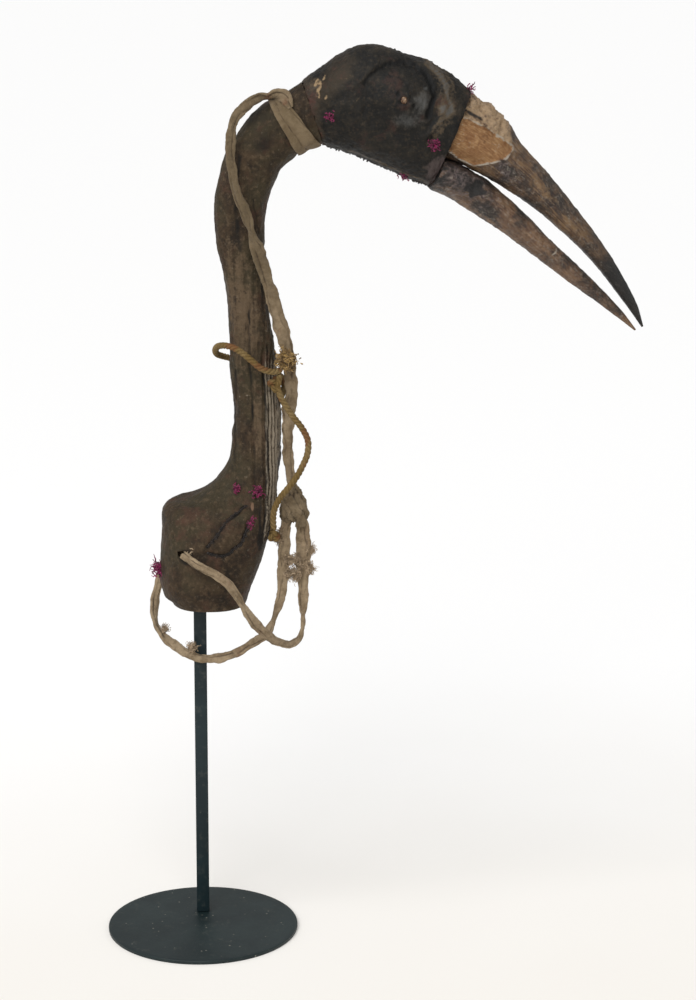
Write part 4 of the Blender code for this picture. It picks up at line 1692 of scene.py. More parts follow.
    def relief(self, points: Array) -> Array:
        """How far the hide stands off the bare form.

        Args:
            points: Points of the bare form.

        Returns:
            The height at each, in metres.
        """
        rise = (points[:, 2] - RIM_HEIGHT) / NECK_HEIGHT
        lift = 0.9 * rough(points, 38, 4, 1) + 0.35 * rough(points, 210, 3, 2)
        lengthwise = points * np.array([170.0, 170.0, 22.0])
        lift += 0.60 * rough(lengthwise, 1.0, 3, 8) * smooth(rise, 0.18, 0.35)
        lips = self.lips(points)
        lift += 1.3 * lips + 0.9 * rough(points, 260, 3, 4) * smooth(lips, 0.0, 0.5)
        lift -= 0.5 * self.panel(points)
        points = wander(points, *self.waver)
        lift += ovals(points, self.swellings) - strokes(points, self.sunk_lines)
        shoulder = fade(points[:, 2] - (RIM_HEIGHT + 0.074), 0.002, 0.006)
        lift += 0.8 * shoulder * smooth(points[:, 0], 0.006, -0.010)
        lift += 0.7 * fade(self.from_hole(points) - self.hole_rim, 0.0, 0.002)
        return lift * MM

    def from_hole(self, points: Array) -> Array:
        """How far each point lies from a strap hole's middle in the side view."""
        return np.hypot(points[:, 0] - self.hole_place[0], points[:, 2] - self.hole_place[1])

    def lips(self, points: Array) -> Array:
        """The layered hide edges along the front seam.

        Args:
            points: The points.

        Returns:
            From 0 in their gaps to 1 on their crests.
        """
        layer = self.layer(points) + 0.10 * rough(points * np.array([1.0, 1.0, 0.3]), 110, 3, 6)
        highest = np.zeros(len(points))
        for at, high, breadth in self.crests:
            highest = np.maximum(highest, high * fade(layer - at, 0.3 * breadth, breadth))
        rise = (points[:, 2] - RIM_HEIGHT) / NECK_HEIGHT
        return highest * smooth(rise, 0.10, 0.20) * (1 - smooth(rise, 0.48, 0.60))

    def layer(self, points: Array) -> Array:
        """How far across the layered front strip a point lies in the side view, from 0 to 1."""
        inner = np.interp(points[:, 2], self.strip_heights, self.strip_edge)
        return (points[:, 0] - inner) / self.strip_breadth

    def panel(self, points: Array) -> Array:
        """The dark patch on the side of the neck.

        Args:
            points: The points.

        Returns:
            From 0 outside it to 1 inside.
        """
        x, z = points[:, 0], points[:, 2]
        across = smooth(x, 0.0266, 0.0282) * (1 - smooth(x, 0.0390, 0.0404))
        return across * smooth(z, 0.350, 0.372) * (1 - smooth(z, 0.446, 0.456))

    def cut_holes(self, made: bpy.types.Object) -> None:
        """Cuts the slanted strap hole through either side of the cup.

        Args:
            made: The cup and neck.
        """
        shares = np.linspace(0, 0.4, 200)
        at = float(np.interp(self.hole_place[1], self.form.ring(shares)[:, 1], shares))
        skin = self.form.skin(np.full(181, at), np.linspace(-math.pi / 2, math.pi / 2, 181))
        order = np.argsort(skin[:, 0])
        reach = float(np.interp(self.hole_place[0], skin[order, 0], MID_PLANE - skin[order, 1]))
        lean, across, rise = self.hole_slant
        cutters = bmesh.new()
        for side in Side:
            way = Vector((-side.value * lean, -side.value * across, rise)).to_track_quat("Z", "Y")
            mouth = Vector((self.hole_place[0], MID_PLANE + side.value * reach, self.hole_place[1]))
            bmesh.ops.create_cone(
                cutters, cap_ends=True, segments=28, radius1=self.hole / 2, radius2=self.hole / 2,
                depth=self.wall * 6, matrix=Matrix.Translation(mouth) @ way.to_matrix().to_4x4(),
            )
        cutter = object_from("strap_hole_cutters", cutters)
        cut = made.modifiers.new("strap_holes", "BOOLEAN")
        cut.operation = "DIFFERENCE"
        cut.solver = "EXACT"
        cut.object = cutter
        graph = bpy.context.evaluated_depsgraph_get()
        result = bpy.data.meshes.new_from_object(made.evaluated_get(graph))
        made.modifiers.clear()
        made.data = result
        made.data.materials.clear()
        made.data.materials.append(self.finishes.hide)
        bpy.data.objects.remove(cutter)

    def lay_colours(self, mesh: bpy.types.Mesh) -> None:
        """Lays where the hide is pale, dark, warm, layered or amber; the dark holds painted shade in creases,
        grooves, strap holes, between the layers and under the head.

        Args:
            mesh: The cup and neck.
        """
        true_points = read_marks(mesh)[0]
        points = wander(true_points, *self.waver)
        broken = 0.80 + 0.5 * rough(true_points, 75, 3, 9)
        rise = (points[:, 2] - RIM_HEIGHT) / NECK_HEIGHT
        near = points[:, 1] < MID_PLANE
        rim = fade(points[:, 2] - (RIM_HEIGHT + 0.0005), 0.0015, 0.0035)
        # dark: the darker panel and dark patches, with painted shade along the front edge, in the creases and
        # in the grooves
        dark = 0.18 * self.panel(points) + broken * strokes(points, self.crease_shadow_lines)
        dark += strokes(points, self.groove_shade_lines) + ovals(points, self.dark_spots)
        # darker towards the cup's lower rim; painted shade at the top, where the neck goes under the head
        dark += 0.35 * (1 - smooth(rise, 0.0, 0.09)) + 0.45 * smooth(rise, 0.90, 0.99)
        # painted shade in the mouth of each strap hole
        dark += 0.8 * fade(self.from_hole(points), 0.0045, 0.0085)
        lips = self.lips(true_points)
        strip = smooth(self.layer(true_points), -0.12, 0.02) * smooth(rise, 0.11, 0.16)
        strip = strip * (1 - smooth(rise, 0.46, 0.58))
        aside = true_points[:, 1] - MID_PLANE
        face = 1 - smooth(np.abs(aside) + 0.0015 * rough(true_points, 90, 3, 31), 0.0045, 0.0090)
        seam = fade(aside + 0.002 * rough(true_points, 60, 2, 29), 0.0005, 0.0020)
        dark += seam * face * strip
        strip = strip * (1 - 0.55 * face)
        # painted shade between the raised crests of the layered strip
        dark += 0.55 * strip * (1 - smooth(lips, 0.05, 0.50))
        lay(mesh, "light", ovals(points, self.pale_spots) + 0.5 * rim)
        lay(mesh, "dark", dark)
        lay(mesh, "warm", ovals(points, self.warm_spots))
        lay(mesh, "lip", strip * (0.40 + 0.70 * lips) + strokes(points, self.scratches) * near)
        lay(mesh, "amber", ovals(points, self.amber_lump) * near)

    def stitch(self, skin: Surface) -> None:
        """Sews the dart on either side with black thread.

        Args:
            skin: The finished skin.
        """
        parts = []
        half, lift = 0.0017, 0.0004
        for side in Side:
            for line in (self.dart_upper, self.dart_lower):
                path = skin.trace(line, 0.0008, lift, side)
                parts.append(tube(path, lambda s: 0.00050 + 0.00040 * np.sin(s * 55) ** 2, 6))
                for i in range(2, len(path) - 2, 5):
                    across = np.cross(path[i + 1] - path[i - 1], np.array([0, side.value, 0]))
                    across = across / np.linalg.norm(across) * half
                    top = path[i] + np.array([0, side.value * lift, 0])
                    jump = curve_through([path[i] - across, top, path[i] + across], 0.0008)
                    parts.append(tube(jump, 0.00045, 5))
        piece("dart_stitches", join(parts), self.finishes.thread)

    def build(self) -> Surface:
        """Builds the cup and neck.

        Returns:
            The skin, for what lies on it.
        """
        mesh = rolled(self.rings, self.sides, self.place)
        made = piece("hide_neck", mesh, self.finishes.hide, ["neck"], 70)
        self.cut_holes(made)
        self.lay_colours(made.data)
        skin = Surface(made)
        self.stitch(skin)
        return skin


@dataclass
class Head:
    """The blackened head with its eye mounds, torn edges and ragged jaw seam."""

    finishes: Finishes
    form: Form
    mound_radius: float = 0.024
    mound_rise: float = 0.0050
    eye_share: float = 0.595
    eye_angle: float = 13.0
    bead_radius: float = 0.0026
    rings: int = 190
    sides: int = 210
    waver: Spot = (0.0016, 140)
    groove: Line = (
        (125.7, 664.3), (130.9, 671.5), (141.5, 677.8), (153.1, 680.3), (163.6, 677.3), (172.4, 670.9),
        (178.0, 655.2), (175.6, 646.6), (172.6, 640.0),
    )
    sunk_lines: Lines = ((1.6, 3.5, groove), (0.9, 2.8, ((90.5, 654.5), (93.6, 661.6), (96.7, 669.0))))
    torn_lines: Lines = (
        (1.0, 2.6, ((90.5, 654.5), (93.6, 661.6), (96.7, 670.0))), (0.8, 2.4, ((88.5, 658.5), (91.5, 666.0))),
    )
    dimples: Table = ((1.8, 160.9, 648.6, 3.0, 2.6, 0), (1.44, 150.0, 657.0, 4.2, 2.2, 30))
    warm_spots: Table = ((0.9, 104, 672, 34, 16, 40), (0.55, 94, 652, 16, 20, 0), (1.2, 184, 650, 14, 28, 70))
    pale_spots: Table = ((0.8, 89, 663, 12, 10, 50), (0.5, 186, 645, 6, 16, 70))
    # Painted highlight on the eye mound and beside the bead
    painted_sheen_spots: Table = (
        (1.0, 168, 651, 13, 13, 0), (0.75, 158, 638, 21, 10, 0), (1.3, 170.3, 661.2, 2.2, 2.2, 0),
    )
    # Dark spots; the two by the eye are painted shade in its hollows
    dark_spots: Table = (
        (0.8, 140, 670, 10, 6, 40), (1.0, 160.9, 648.6, 3.0, 2.8, 0), (0.9, 149.5, 657.5, 5.0, 3.0, 30),
    )
    cream_spots: Table = (
        (0.35, 92.5, 661.0, 7.5, 5.5, 60), (0.95, 97.1, 653.8, 3.4, 2.2, 70),
        (0.7, 98.5, 625.0, 1.2, 2.6, 60),
    )
    cheek: Table = ((2.2, 188, 598, 24, 24, 0),)
    lores: Table = ((0.35, 176, 632, 20, 14, 60),)

    def eye(self) -> Array:
        """The middle of the eye mound on the bare form."""
        return self.form.skin(np.array([self.eye_share]), np.radians([self.eye_angle]))[0]

    def relief(self, share: Array, angle: Array, points: Array) -> Array:
        """How far the hide stands off the bare form.

        Args:
            share: Shares of the form's length.
            angle: Angles round it.
            points: Points of the bare form.

        Returns:
            The height at each, in metres.
        """
        eye = self.eye()
        x, z = points[:, 0] - eye[0], points[:, 2] - eye[2]
        reach = np.hypot(x, z) / self.mound_radius
        mound = (1 - np.minimum(reach, 1) ** 2) ** 2
        moat = (1 - np.minimum(np.abs(reach - 1.08) / 0.30, 1) ** 2) ** 2
        lift = self.mound_rise / MM * mound - 1.1 * moat * np.abs(np.cos(angle))
        lift += 1.0 * rough(points, 60, 4, 11) + 0.45 * rough(points, 260, 3, 12)
        points = wander(points, *self.waver)
        front = smooth(points[:, 0], 0.165, 0.176) * (1 - smooth(reach, 1.7, 2.1)) * smooth(reach, 0.95, 1.1)
        lift += 0.40 * front * np.sin(reach * 15 + rough(points, 70, 2, 13) * 1.6)
        lift -= strokes(points, self.sunk_lines) + ovals(points, self.dimples)
        lid = np.hypot(points[:, 0] - eye[0] - 0.0003, points[:, 2] - eye[2] + 0.0002)
        lift += 1.3 * (0.6 + 0.9 * rough(points, 330, 3, 20)) * fade(lid - 0.0042, 0.0004, 0.0030)
        edge = smooth(share, 0.955, 0.985)
        below = smooth(-np.sin(angle), 0.10, 0.45)
        lift += edge * (0.6 - 1.2 * below + 0.6 * rough(points, 330, 3, 14))
        jaw = fade(np.sin((angle + math.pi / 2) / 2), 0.02, 0.07)
        lift += jaw * (0.8 + 1.1 * rough(points, 300, 3, 15))
        crown = fade(np.sin((angle - math.pi / 2) / 2), 0.02, 0.10) * smooth(share, 0.55, 0.8)
        return (lift + crown * (0.4 + 0.8 * rough(points, 280, 3, 16))) * MM

    def place(self, share: Array, turn: Array) -> Array:
        """The skin.

        Args:
            share: Shares along it.
            turn: Shares round it.

        Returns:
            The points.
        """
        angle = turn * math.tau
        points = self.form.skin(share, angle)
        points = points + self.form.outward(share, angle) * self.relief(share, angle, points)[:, None]
        jag = (0.0004 * rough(points, 420, 3, 17) - 0.0004) * smooth(share, 0.985, 1.0)
        hem = 0.0012 * rough(points, 240, 3, 21) * (1 - smooth(share, 0.0, 0.05))
        forward, backward = (self.form.end(at)[1] for at in (1.0, 0.0))
        return points + backward * hem[:, None] + forward * jag[:, None]

    def lay_colours(self, mesh: bpy.types.Mesh) -> None:
        """Lays where the hide is pale, dark, warm or torn to cream, and where a grey highlight is painted;
        the dark holds painted shade in the mound's groove, hollows and moat and at the bill's edge.

        Args:
            mesh: The head.
        """
        true_points, along, around = read_marks(mesh)
        angle = around * math.tau
        up = np.sin(angle)
        points = wander(true_points, *self.waver)
        eye = self.eye()
        x, z = points[:, 0] - eye[0], points[:, 2] - eye[2]
        reach = np.hypot(x, z) / self.mound_radius
        swing = np.degrees(np.arctan2(z, x))
        brow = smooth(swing, -60, -15) * (1 - smooth(swing, 45, 75))
        arcs = 0.5 + 0.5 * np.sin(reach * 24 + 5.5 * rough(points, 42, 3, 19))
        jaw = np.abs(np.sin((angle + math.pi / 2) / 2))
        warm = ovals(points, self.warm_spots) + 0.5 * smooth(points[:, 2], 0.684, 0.692)
        warm += 0.9 * (1 - smooth(along, 0.0, 0.10))
        light = ovals(points, self.pale_spots)
        light += 0.60 * fade(reach - 1.45, 0.10, 0.36) * smooth(points[:, 0], 0.165, 0.180)
        light += 0.65 * brow * arcs * fade(reach - 1.42, 0.05, 0.40)
        light += 0.8 * fade(jaw - 0.16, 0.02, 0.06) * smooth(along, 0.1, 0.3)
        pupil = (0.9, eye[0] / MM - 1.2, eye[2] / MM - 0.6, 9.5, 8.0, 0)
        # painted shade in the groove over the eye mound and in its hollows, with the dark patch round the eye
        dark = strokes(points, ((0.9, 4.0, self.groove),)) + ovals(points, (*self.dark_spots, pupil))
        # painted shade in the moat on the brow side of the mound
        dark += 0.60 * brow * fade(reach - 0.86, 0.06, 0.28)
        # painted shade along the front edge, where the hide laps over the upper bill
        dark += 0.5 * smooth(along, 0.985, 0.998) * (1 - smooth(-up, 0.05, 0.4)) * smooth(up, -0.3, 0.1)
        torn = 0.75 + 0.9 * rough(true_points, 330, 3, 18)
        lay(mesh, "warm", warm)
        lay(mesh, "light", light)
        # painted highlight on the eye mound
        lay(mesh, "painted_sheen", ovals(points, self.painted_sheen_spots))
        lay(mesh, "dark", dark)
        lay(mesh, "cream", torn * strokes(points, self.torn_lines) + ovals(points, self.cream_spots))
        lay(mesh, "mauve", ovals(points, self.cheek) * smooth(-up, 0.05, 0.5) + ovals(points, self.lores))

    def set_beads(self, skin: Surface) -> None:
        """Sets a worn bead in either eye mound.

        Args:
            skin: The finished skin.
        """
        for side in Side:
            name = side.name.lower()
            low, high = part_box(f"eye_bead_{name}")
            middle = (low + high) / 2
            found = skin.from_side(middle.x, middle.z, side)
            if found is not None:
                middle = found[0] - found[1] * (0.25 * self.bead_radius)
            mesh = bmesh.new()
            bmesh.ops.create_icosphere(mesh, subdivisions=5, radius=self.bead_radius)
            for vertex in mesh.verts:
                vertex.co *= 1 + 0.16 * noise.noise(vertex.co * 640)
            bmesh.ops.translate(mesh, verts=mesh.verts, vec=middle)
            piece(f"amber_eye_{name}", mesh, self.finishes.bead, [f"eye_bead_{name}"])

    def sew_jaw(self) -> None:
        """Leaves lumps of black thread along the jaw seam and the brow."""
        parts = []
        dice = np.random.default_rng(4)
        shares = np.linspace(0.10, 0.98, 46)
        for chosen, turn, height, gaps in (
            (shares, -math.pi / 2, 1.0, 0.25), (shares[24::2], math.pi / 2, 0.5, 0.5),
        ):
            angle = np.full(len(chosen), turn)
            for spot, way in zip(self.form.skin(chosen, angle), self.form.outward(chosen, angle)):
                if dice.uniform() < gaps:
                    continue
                tall = dice.uniform(0.0004, 0.0019) * height
                aside = np.array([0, dice.uniform(0.0012, 0.0026), 0])
                foot = spot - way * 0.0006
                top = spot + way * tall + np.array([dice.normal(0, 0.0008), 0, 0])
                line = curve_through([foot - aside, top, foot + aside], 0.0009)
                parts.append(tube(line, dice.uniform(0.0004, 0.0009), 5, (1, 0, 0.2)))
        piece("jaw_stitches", join(parts), self.finishes.thread)

    def build(self) -> Surface:
        """Builds the head.

        Returns:
            The skin, for what lies on it.
        """
        mesh = rolled(self.rings, self.sides, self.place)
        made = piece("hide_head", mesh, self.finishes.head, ["head"], 70)
        self.lay_colours(made.data)
        skin = Surface(made)
        self.set_beads(skin)
        self.sew_jaw()
        return skin


@dataclass
class Bills:
    """The two bills of weathered horn, broken away to bare bone at the root of the upper one."""

    finishes: Finishes
    upper: Form
    lower: Form
    rings: int = 230
    sides: int = 110
    bone_edge: Line = (
        (186.8, 616.7), (191.0, 630.0), (196.0, 638.5), (204.0, 637.5), (211.0, 633.5), (219.2, 630.0),
        (228.5, 623.0), (238.0, 616.7), (237.9, 613.9), (232.9, 608.3), (223.1, 605.4), (209.2, 602.8),
        (196.9, 608.3), (186.8, 616.7),
    )
    casque_leans: tuple[float, ...] = (0.186, 0.204, 0.219, 0.232, 0.244)
    casque_rises: tuple[float, ...] = (0.6385, 0.6370, 0.6300, 0.6200, 0.6140)
    hollow: Line = ((201.5, 643.5), (208.4, 640.0), (214.7, 636.8))
    knob: Table = ((0.9, 217.5, 627.8, 4.0, 2.2, -20),)
    chip: Table = ((0.5, 233, 621, 5, 1.4, -35),)
    pale_side: Table = ((0.5, 255, 553, 34, 9, -42),)
    root_pit: Table = ((1.0, 210.5, 584.5, 14.0, 9.0, -25),)
    # Darker over the pit at the root
    root_pit_darkening: Table = ((1.9, 210.5, 584.5, 14.5, 9.2, -25),)
    pit_waver: Spot = (0.0034, 180)

    def bone_depth(self, points: Array) -> Array:
        """How far a point lies inside the bare oval in the side view.

        Args:
            points: The points.

        Returns:
            The depth of each, negative outside.
        """
        spots = points[:, [0, 2]]
        away = near_line(spots, self.bone_edge)
        corners = np.array(self.bone_edge) * MM
        inside = np.zeros(len(spots), bool)
        for (x0, z0), (x1, z1) in zip(corners[:-1], corners[1:]):
            crosses = (z0 > spots[:, 1]) != (z1 > spots[:, 1])
            at = x0 + (spots[:, 1] - z0) / (z1 - z0 + 1e-12) * (x1 - x0)
            inside ^= crosses & (spots[:, 0] < at)
        return np.where(inside, away, -away)

    def casque(self, points: Array) -> Array:
        """Where the broken upper edge is rough and pale, from 0 to 1."""
        above = points[:, 2] - np.interp(points[:, 0], self.casque_leans, self.casque_rises)
        return smooth(above, -0.0012, 0.0012) * (1 - smooth(points[:, 0], 0.232, 0.243))

    def place_upper(self, share: Array, turn: Array) -> Array:
        """The upper bill.

        Args:
            share: Shares along it.
            turn: Shares round it.

        Returns:
            The points.
        """
        angle = turn * math.tau
        points = self.upper.skin(share, angle)
        lift = self.taper(share) * (0.7 * rough(points, 70, 4, 21) + 0.4 * rough(points, 330, 3, 22))
        depth = self.bone_depth(points)
        lift -= 1.4 * smooth(depth, -0.0004, 0.0010)
        lift += 0.6 * fade(depth + 0.0008, 0.0, 0.0016) * (share < 0.4)
        steps = np.floor(rough(points, 170, 4, 23) * 5) / 5
        lift += self.casque(points) * (0.4 + 2.2 * steps + 0.6 * rough(points, 500, 3, 24))
        lift += ovals(points, self.knob) - strokes(points, ((2.2, 2.6, self.hollow),))
        return points + self.upper.outward(share, angle) * lift[:, None] * MM

    def place_lower(self, share: Array, turn: Array) -> Array:
        """The lower bill.

        Args:
            share: Shares along it.
            turn: Shares round it.

        Returns:
            The points.
        """
        angle = turn * math.tau
        points = self.lower.skin(share, angle)
        lift = self.taper(share) * (0.8 * rough(points, 90, 4, 25) + 0.4 * rough(points, 360, 3, 26))
        swelling = 3.4 * np.abs(np.cos(angle)) ** 0.7 + 2.0 * np.maximum(-np.sin(angle), 0)
        lift += (1 - smooth(share, 0.0, 0.15)) * swelling
        lift -= 2.4 * ovals(wander(points, *self.pit_waver), self.root_pit)
        return points + self.lower.outward(share, angle) * lift[:, None] * MM

    def taper(self, share: Array) -> Array:
        """How much wear a bill has room for along its length, from 0 to 1."""
        return np.interp(share, [0, 0.6, 1], [1, 0.7, 0.12])

    def build(self) -> None:
        """Builds both bills."""
        mesh = rolled(self.rings, self.sides, self.place_upper)
        upper = piece("horn_upper", mesh, self.finishes.upper_horn, ["upper_bill"], 50)
        points, along, _ = read_marks(upper.data)
        depth = self.bone_depth(points)
        for name, values in {
            "bone": smooth(depth, -0.0010, 0.0010),
            "rim": 0.95 * fade(depth + 0.0004, 0.0004, 0.0016) * (along < 0.4),
            "casque": self.casque(points),
            "tip": 0.38 * smooth(along, 0.40, 0.60) + 0.62 * smooth(along, 0.62, 0.84),
            "scaly": ovals(points, ((0.7, 232, 598, 40, 10, -45),)),
            # painted shade in the nostril hollow, and a dark chip
            "dark": strokes(points, ((1.1, 2.6, self.hollow),)) + ovals(points, self.chip),
            # scratches along the upper edge, with a painted highlight of glints there
            "light": ovals(points, ((0.8, 262, 585, 44, 11, -48),)),
        }.items():
            lay(upper.data, name, values)
        mesh = rolled(self.rings, self.sides, self.place_lower)
        lower = piece("horn_lower", mesh, self.finishes.lower_horn, ["lower_bill"], 50)
        points, along, around = read_marks(lower.data)
        points = wander(points, 0.0024, 150)
        root = (1 - smooth(along, 0.0, 0.07)) * (0.7 + 1.2 * rough(points, 150, 3, 28))
        keel = smooth(-np.sin(around * math.tau), 0.45, 0.85) * (1 - smooth(along, 0.35, 0.6))
        for name, values in {
            "scaly": ovals(points, ((0.95, 200, 592, 52, 24, -38),)),
            "tip": 0.35 * smooth(along, 0.55, 0.75) * (1 - smooth(along, 0.86, 0.94)),
            # darker at the root, and over the pit there
            "dark": root + ovals(wander(points, *self.pit_waver), self.root_pit_darkening),
            "light": 0.9 * smooth(along, 0.88, 0.96) + 0.8 * keel + ovals(points, self.pale_side),
            "rim": strokes(points, ((1.3, 1.1, ((271.3, 533.0), (273.8, 538.5))),)),
        }.items():
            lay(lower.data, name, values)


# The routes of the solids, as chosen points in metres
UPPER_STRAP_ROUTE = (
    (0.0545, 0.0122, 0.6545), (0.0500, 0.0112, 0.6540), (0.0435, 0.0097, 0.6510),
    (0.0370, 0.0083, 0.6465), (0.0315, 0.0068, 0.6405), (0.0278, 0.0053, 0.6320),
    (0.0260, 0.0040, 0.6205), (0.0261, 0.0027, 0.6080), (0.0286, 0.0015, 0.5947),
    (0.0328, 0.0008, 0.5800), (0.0380, 0.0012, 0.5657), (0.0432, 0.0035, 0.5497),
    (0.0487, 0.0072, 0.5311), (0.0547, 0.0108, 0.5131), (0.0600, 0.0137, 0.4955),
    (0.0645, 0.0152, 0.4785), (0.0680, 0.0155, 0.4625), (0.0707, 0.0155, 0.4454),
    (0.0712, 0.0155, 0.4299), (0.0698, 0.0155, 0.4143), (0.0688, 0.0155, 0.3986),
    (0.0693, 0.0155, 0.3805), (0.0718, 0.0158, 0.3596),
)
NEAR_LEG_ROUTE = (
    (-0.0125, -0.0105, 0.3094), (-0.0088, -0.0147, 0.3073), (-0.0038, -0.0200, 0.3045),
    (0.0040, -0.0242, 0.3012), (0.0130, -0.0258, 0.2965), (0.0215, -0.0260, 0.2893),
    (0.0284, -0.0252, 0.2797), (0.0345, -0.0240, 0.2690), (0.0415, -0.0213, 0.2578),
    (0.0506, -0.0170, 0.2470), (0.0605, -0.0100, 0.2380), (0.0695, -0.0025, 0.2340),
    (0.0763, 0.0035, 0.2362), (0.0797, 0.0080, 0.2440), (0.0803, 0.0110, 0.2550),
    (0.0803, 0.0130, 0.2678), (0.0805, 0.0140, 0.2821), (0.0808, 0.0150, 0.2993),
    (0.0808, 0.0160, 0.3150), (0.0806, 0.0160, 0.3258),
)
FAR_LEG_ROUTE = (
    (-0.0075, 0.0625, 0.3094), (-0.0112, 0.0667, 0.3073), (-0.0162, 0.0722, 0.3040),
    (-0.0225, 0.0765, 0.2970), (-0.0275, 0.0755, 0.2860), (-0.0305, 0.0720, 0.2745),
    (-0.0333, 0.0665, 0.2637), (-0.0358, 0.0600, 0.2535), (-0.0366, 0.0520, 0.2438),
    (-0.0340, 0.0435, 0.2355), (-0.0275, 0.0340, 0.2302), (-0.0187, 0.0245, 0.2257),
    (-0.0093, 0.0155, 0.2222), (0.0002, 0.0115, 0.2195), (0.0096, 0.0088, 0.2198),
    (0.0191, 0.0060, 0.2218), (0.0285, 0.0040, 0.2262), (0.0370, 0.0030, 0.2310),
    (0.0450, 0.0032, 0.2358), (0.0515, 0.0042, 0.2412), (0.0560, 0.0060, 0.2485),
    (0.0595, 0.0080, 0.2580), (0.0625, 0.0100, 0.2687), (0.0640, 0.0118, 0.2800),
    (0.0650, 0.0132, 0.2939), (0.0662, 0.0150, 0.3092), (0.0668, 0.0158, 0.3254),
)
ROPE_LOOP_ROUTE = (
    (0.0632, 0.0050, 0.4487), (0.0585, 0.0030, 0.4480), (0.0540, 0.0012, 0.4488),
    (0.0480, -0.0006, 0.4515), (0.0414, -0.0010, 0.4570), (0.0354, -0.0002, 0.4622),
    (0.0290, 0.0025, 0.4660), (0.0222, 0.0075, 0.4674), (0.0162, 0.0155, 0.4658),
    (0.0140, 0.0250, 0.4612), (0.0152, 0.0345, 0.4565), (0.0198, 0.0440, 0.4530),
    (0.0275, 0.0505, 0.4500), (0.0365, 0.0532, 0.4475), (0.0465, 0.0528, 0.4445),
    (0.0570, 0.0490, 0.4410), (0.0645, 0.0415, 0.4370), (0.0668, 0.0318, 0.4325),
    (0.0655, 0.0225, 0.4290), (0.0640, 0.0150, 0.4270),
)
ROPE_TAIL_ROUTE = (
    (0.0622, 0.0035, 0.4308), (0.0670, 0.0035, 0.4215), (0.0733, 0.0035, 0.4120),
    (0.0797, 0.0033, 0.4034), (0.0838, 0.0023, 0.3942), (0.0833, 0.0008, 0.3845),
    (0.0795, -0.0003, 0.3752), (0.0747, -0.0010, 0.3665), (0.0684, -0.0006, 0.3580),
    (0.0618, 0.0008, 0.3492), (0.0576, 0.0020, 0.3391), (0.0570, 0.0032, 0.3310), (0.0575, 0.0040, 0.3245),
)


# Where the strap leaves the wrap, over the top of the neck
WRAP_TURN = (
    (0.0712, 0.0052, 0.6462), (0.0690, 0.0060, 0.6505), (0.0655, 0.0078, 0.6545), (0.0605, 0.0104, 0.6562),
)
# Where the rope's tail leaves its knot
ROPE_TAIL_START = ((0.0628, 0.0046, 0.4452), (0.0608, 0.0038, 0.4372))


@dataclass(frozen=True)
class StripPlan:
    """One run of the strap: its names, its route and how it is folded.

    The widths are in millimetres, the turns in degrees, and the grime from 0 to 1, each by the
    share along the run.
    """

    name: str
    node: str
    route: Sequence[Point]
    widths: Table
    turns: Table
    seed: float
    far_end: str = "object"
    soil: float = 0.0
    grime: Table = ((0, 0), (1, 0))


STRIPS = (
    StripPlan(
        "strap_fall", "strap_hanging", (*WRAP_TURN, *UPPER_STRAP_ROUTE, (0.0722, 0.0158, 0.3520)),
        (
            (0, 4.0), (0.015, 8.8), (0.03, 10.0), (0.06, 7.8), (0.10, 8.6), (0.16, 7.2), (0.23, 8.0),
            (0.29, 6.6), (0.38, 8.6), (0.46, 10.4), (0.52, 9.2), (0.58, 11.0), (0.66, 10.4), (0.73, 9.2),
            (0.80, 11.2), (0.86, 9.4), (0.92, 8.4), (1.0, 6.4),
        ),
        ((0, 10), (0.04, 40), (0.14, 15), (0.32, 5), (0.42, -30), (0.5, 10), (0.75, -10), (0.9, 30), (1, 10)),
        1.0, "knot", 0.25,
        ((0, 0.55), (0.10, 0.75), (0.30, 1.0), (0.52, 0.8), (0.62, 0.45), (0.75, 0.35), (1, 0.45)),
    ),
    StripPlan(
        "strap_leg_near", "strap_near_leg", (*NEAR_LEG_ROUTE, (0.0785, 0.0160, 0.3345)),
        (
            (0, 6.0), (0.06, 6.8), (0.12, 6.2), (0.20, 8.2), (0.27, 6.0), (0.34, 8.4), (0.42, 7.8),
            (0.50, 6.6), (0.56, 5.6), (0.62, 4.4), (0.68, 6.4), (0.76, 8.4), (0.84, 12.2), (0.92, 11.8),
            (1.0, 8.0),
        ),
        ((0, 0), (0.2, 15), (0.28, 75), (0.36, 10), (0.55, 30), (0.62, 85), (0.70, 20), (0.85, 0), (1, 0)),
        2.0,
    ),
    StripPlan(
        "strap_leg_far", "strap_far_leg", (*FAR_LEG_ROUTE, (0.0697, 0.0158, 0.3345)),
        (
            (0, 5.5), (0.12, 6.0), (0.24, 7.6), (0.32, 6.4), (0.40, 8.4), (0.47, 6.6), (0.54, 8.0),
            (0.62, 6.0), (0.67, 8.4), (0.72, 5.2), (0.78, 7.8), (0.88, 9.6), (0.95, 8.8), (1, 7.5),
        ),
        ((0, 0), (0.25, 20), (0.36, 80), (0.44, 10), (0.58, 40), (0.66, 0), (0.72, 80), (0.80, 5), (1, 0)),
        4.0,
    ),
)


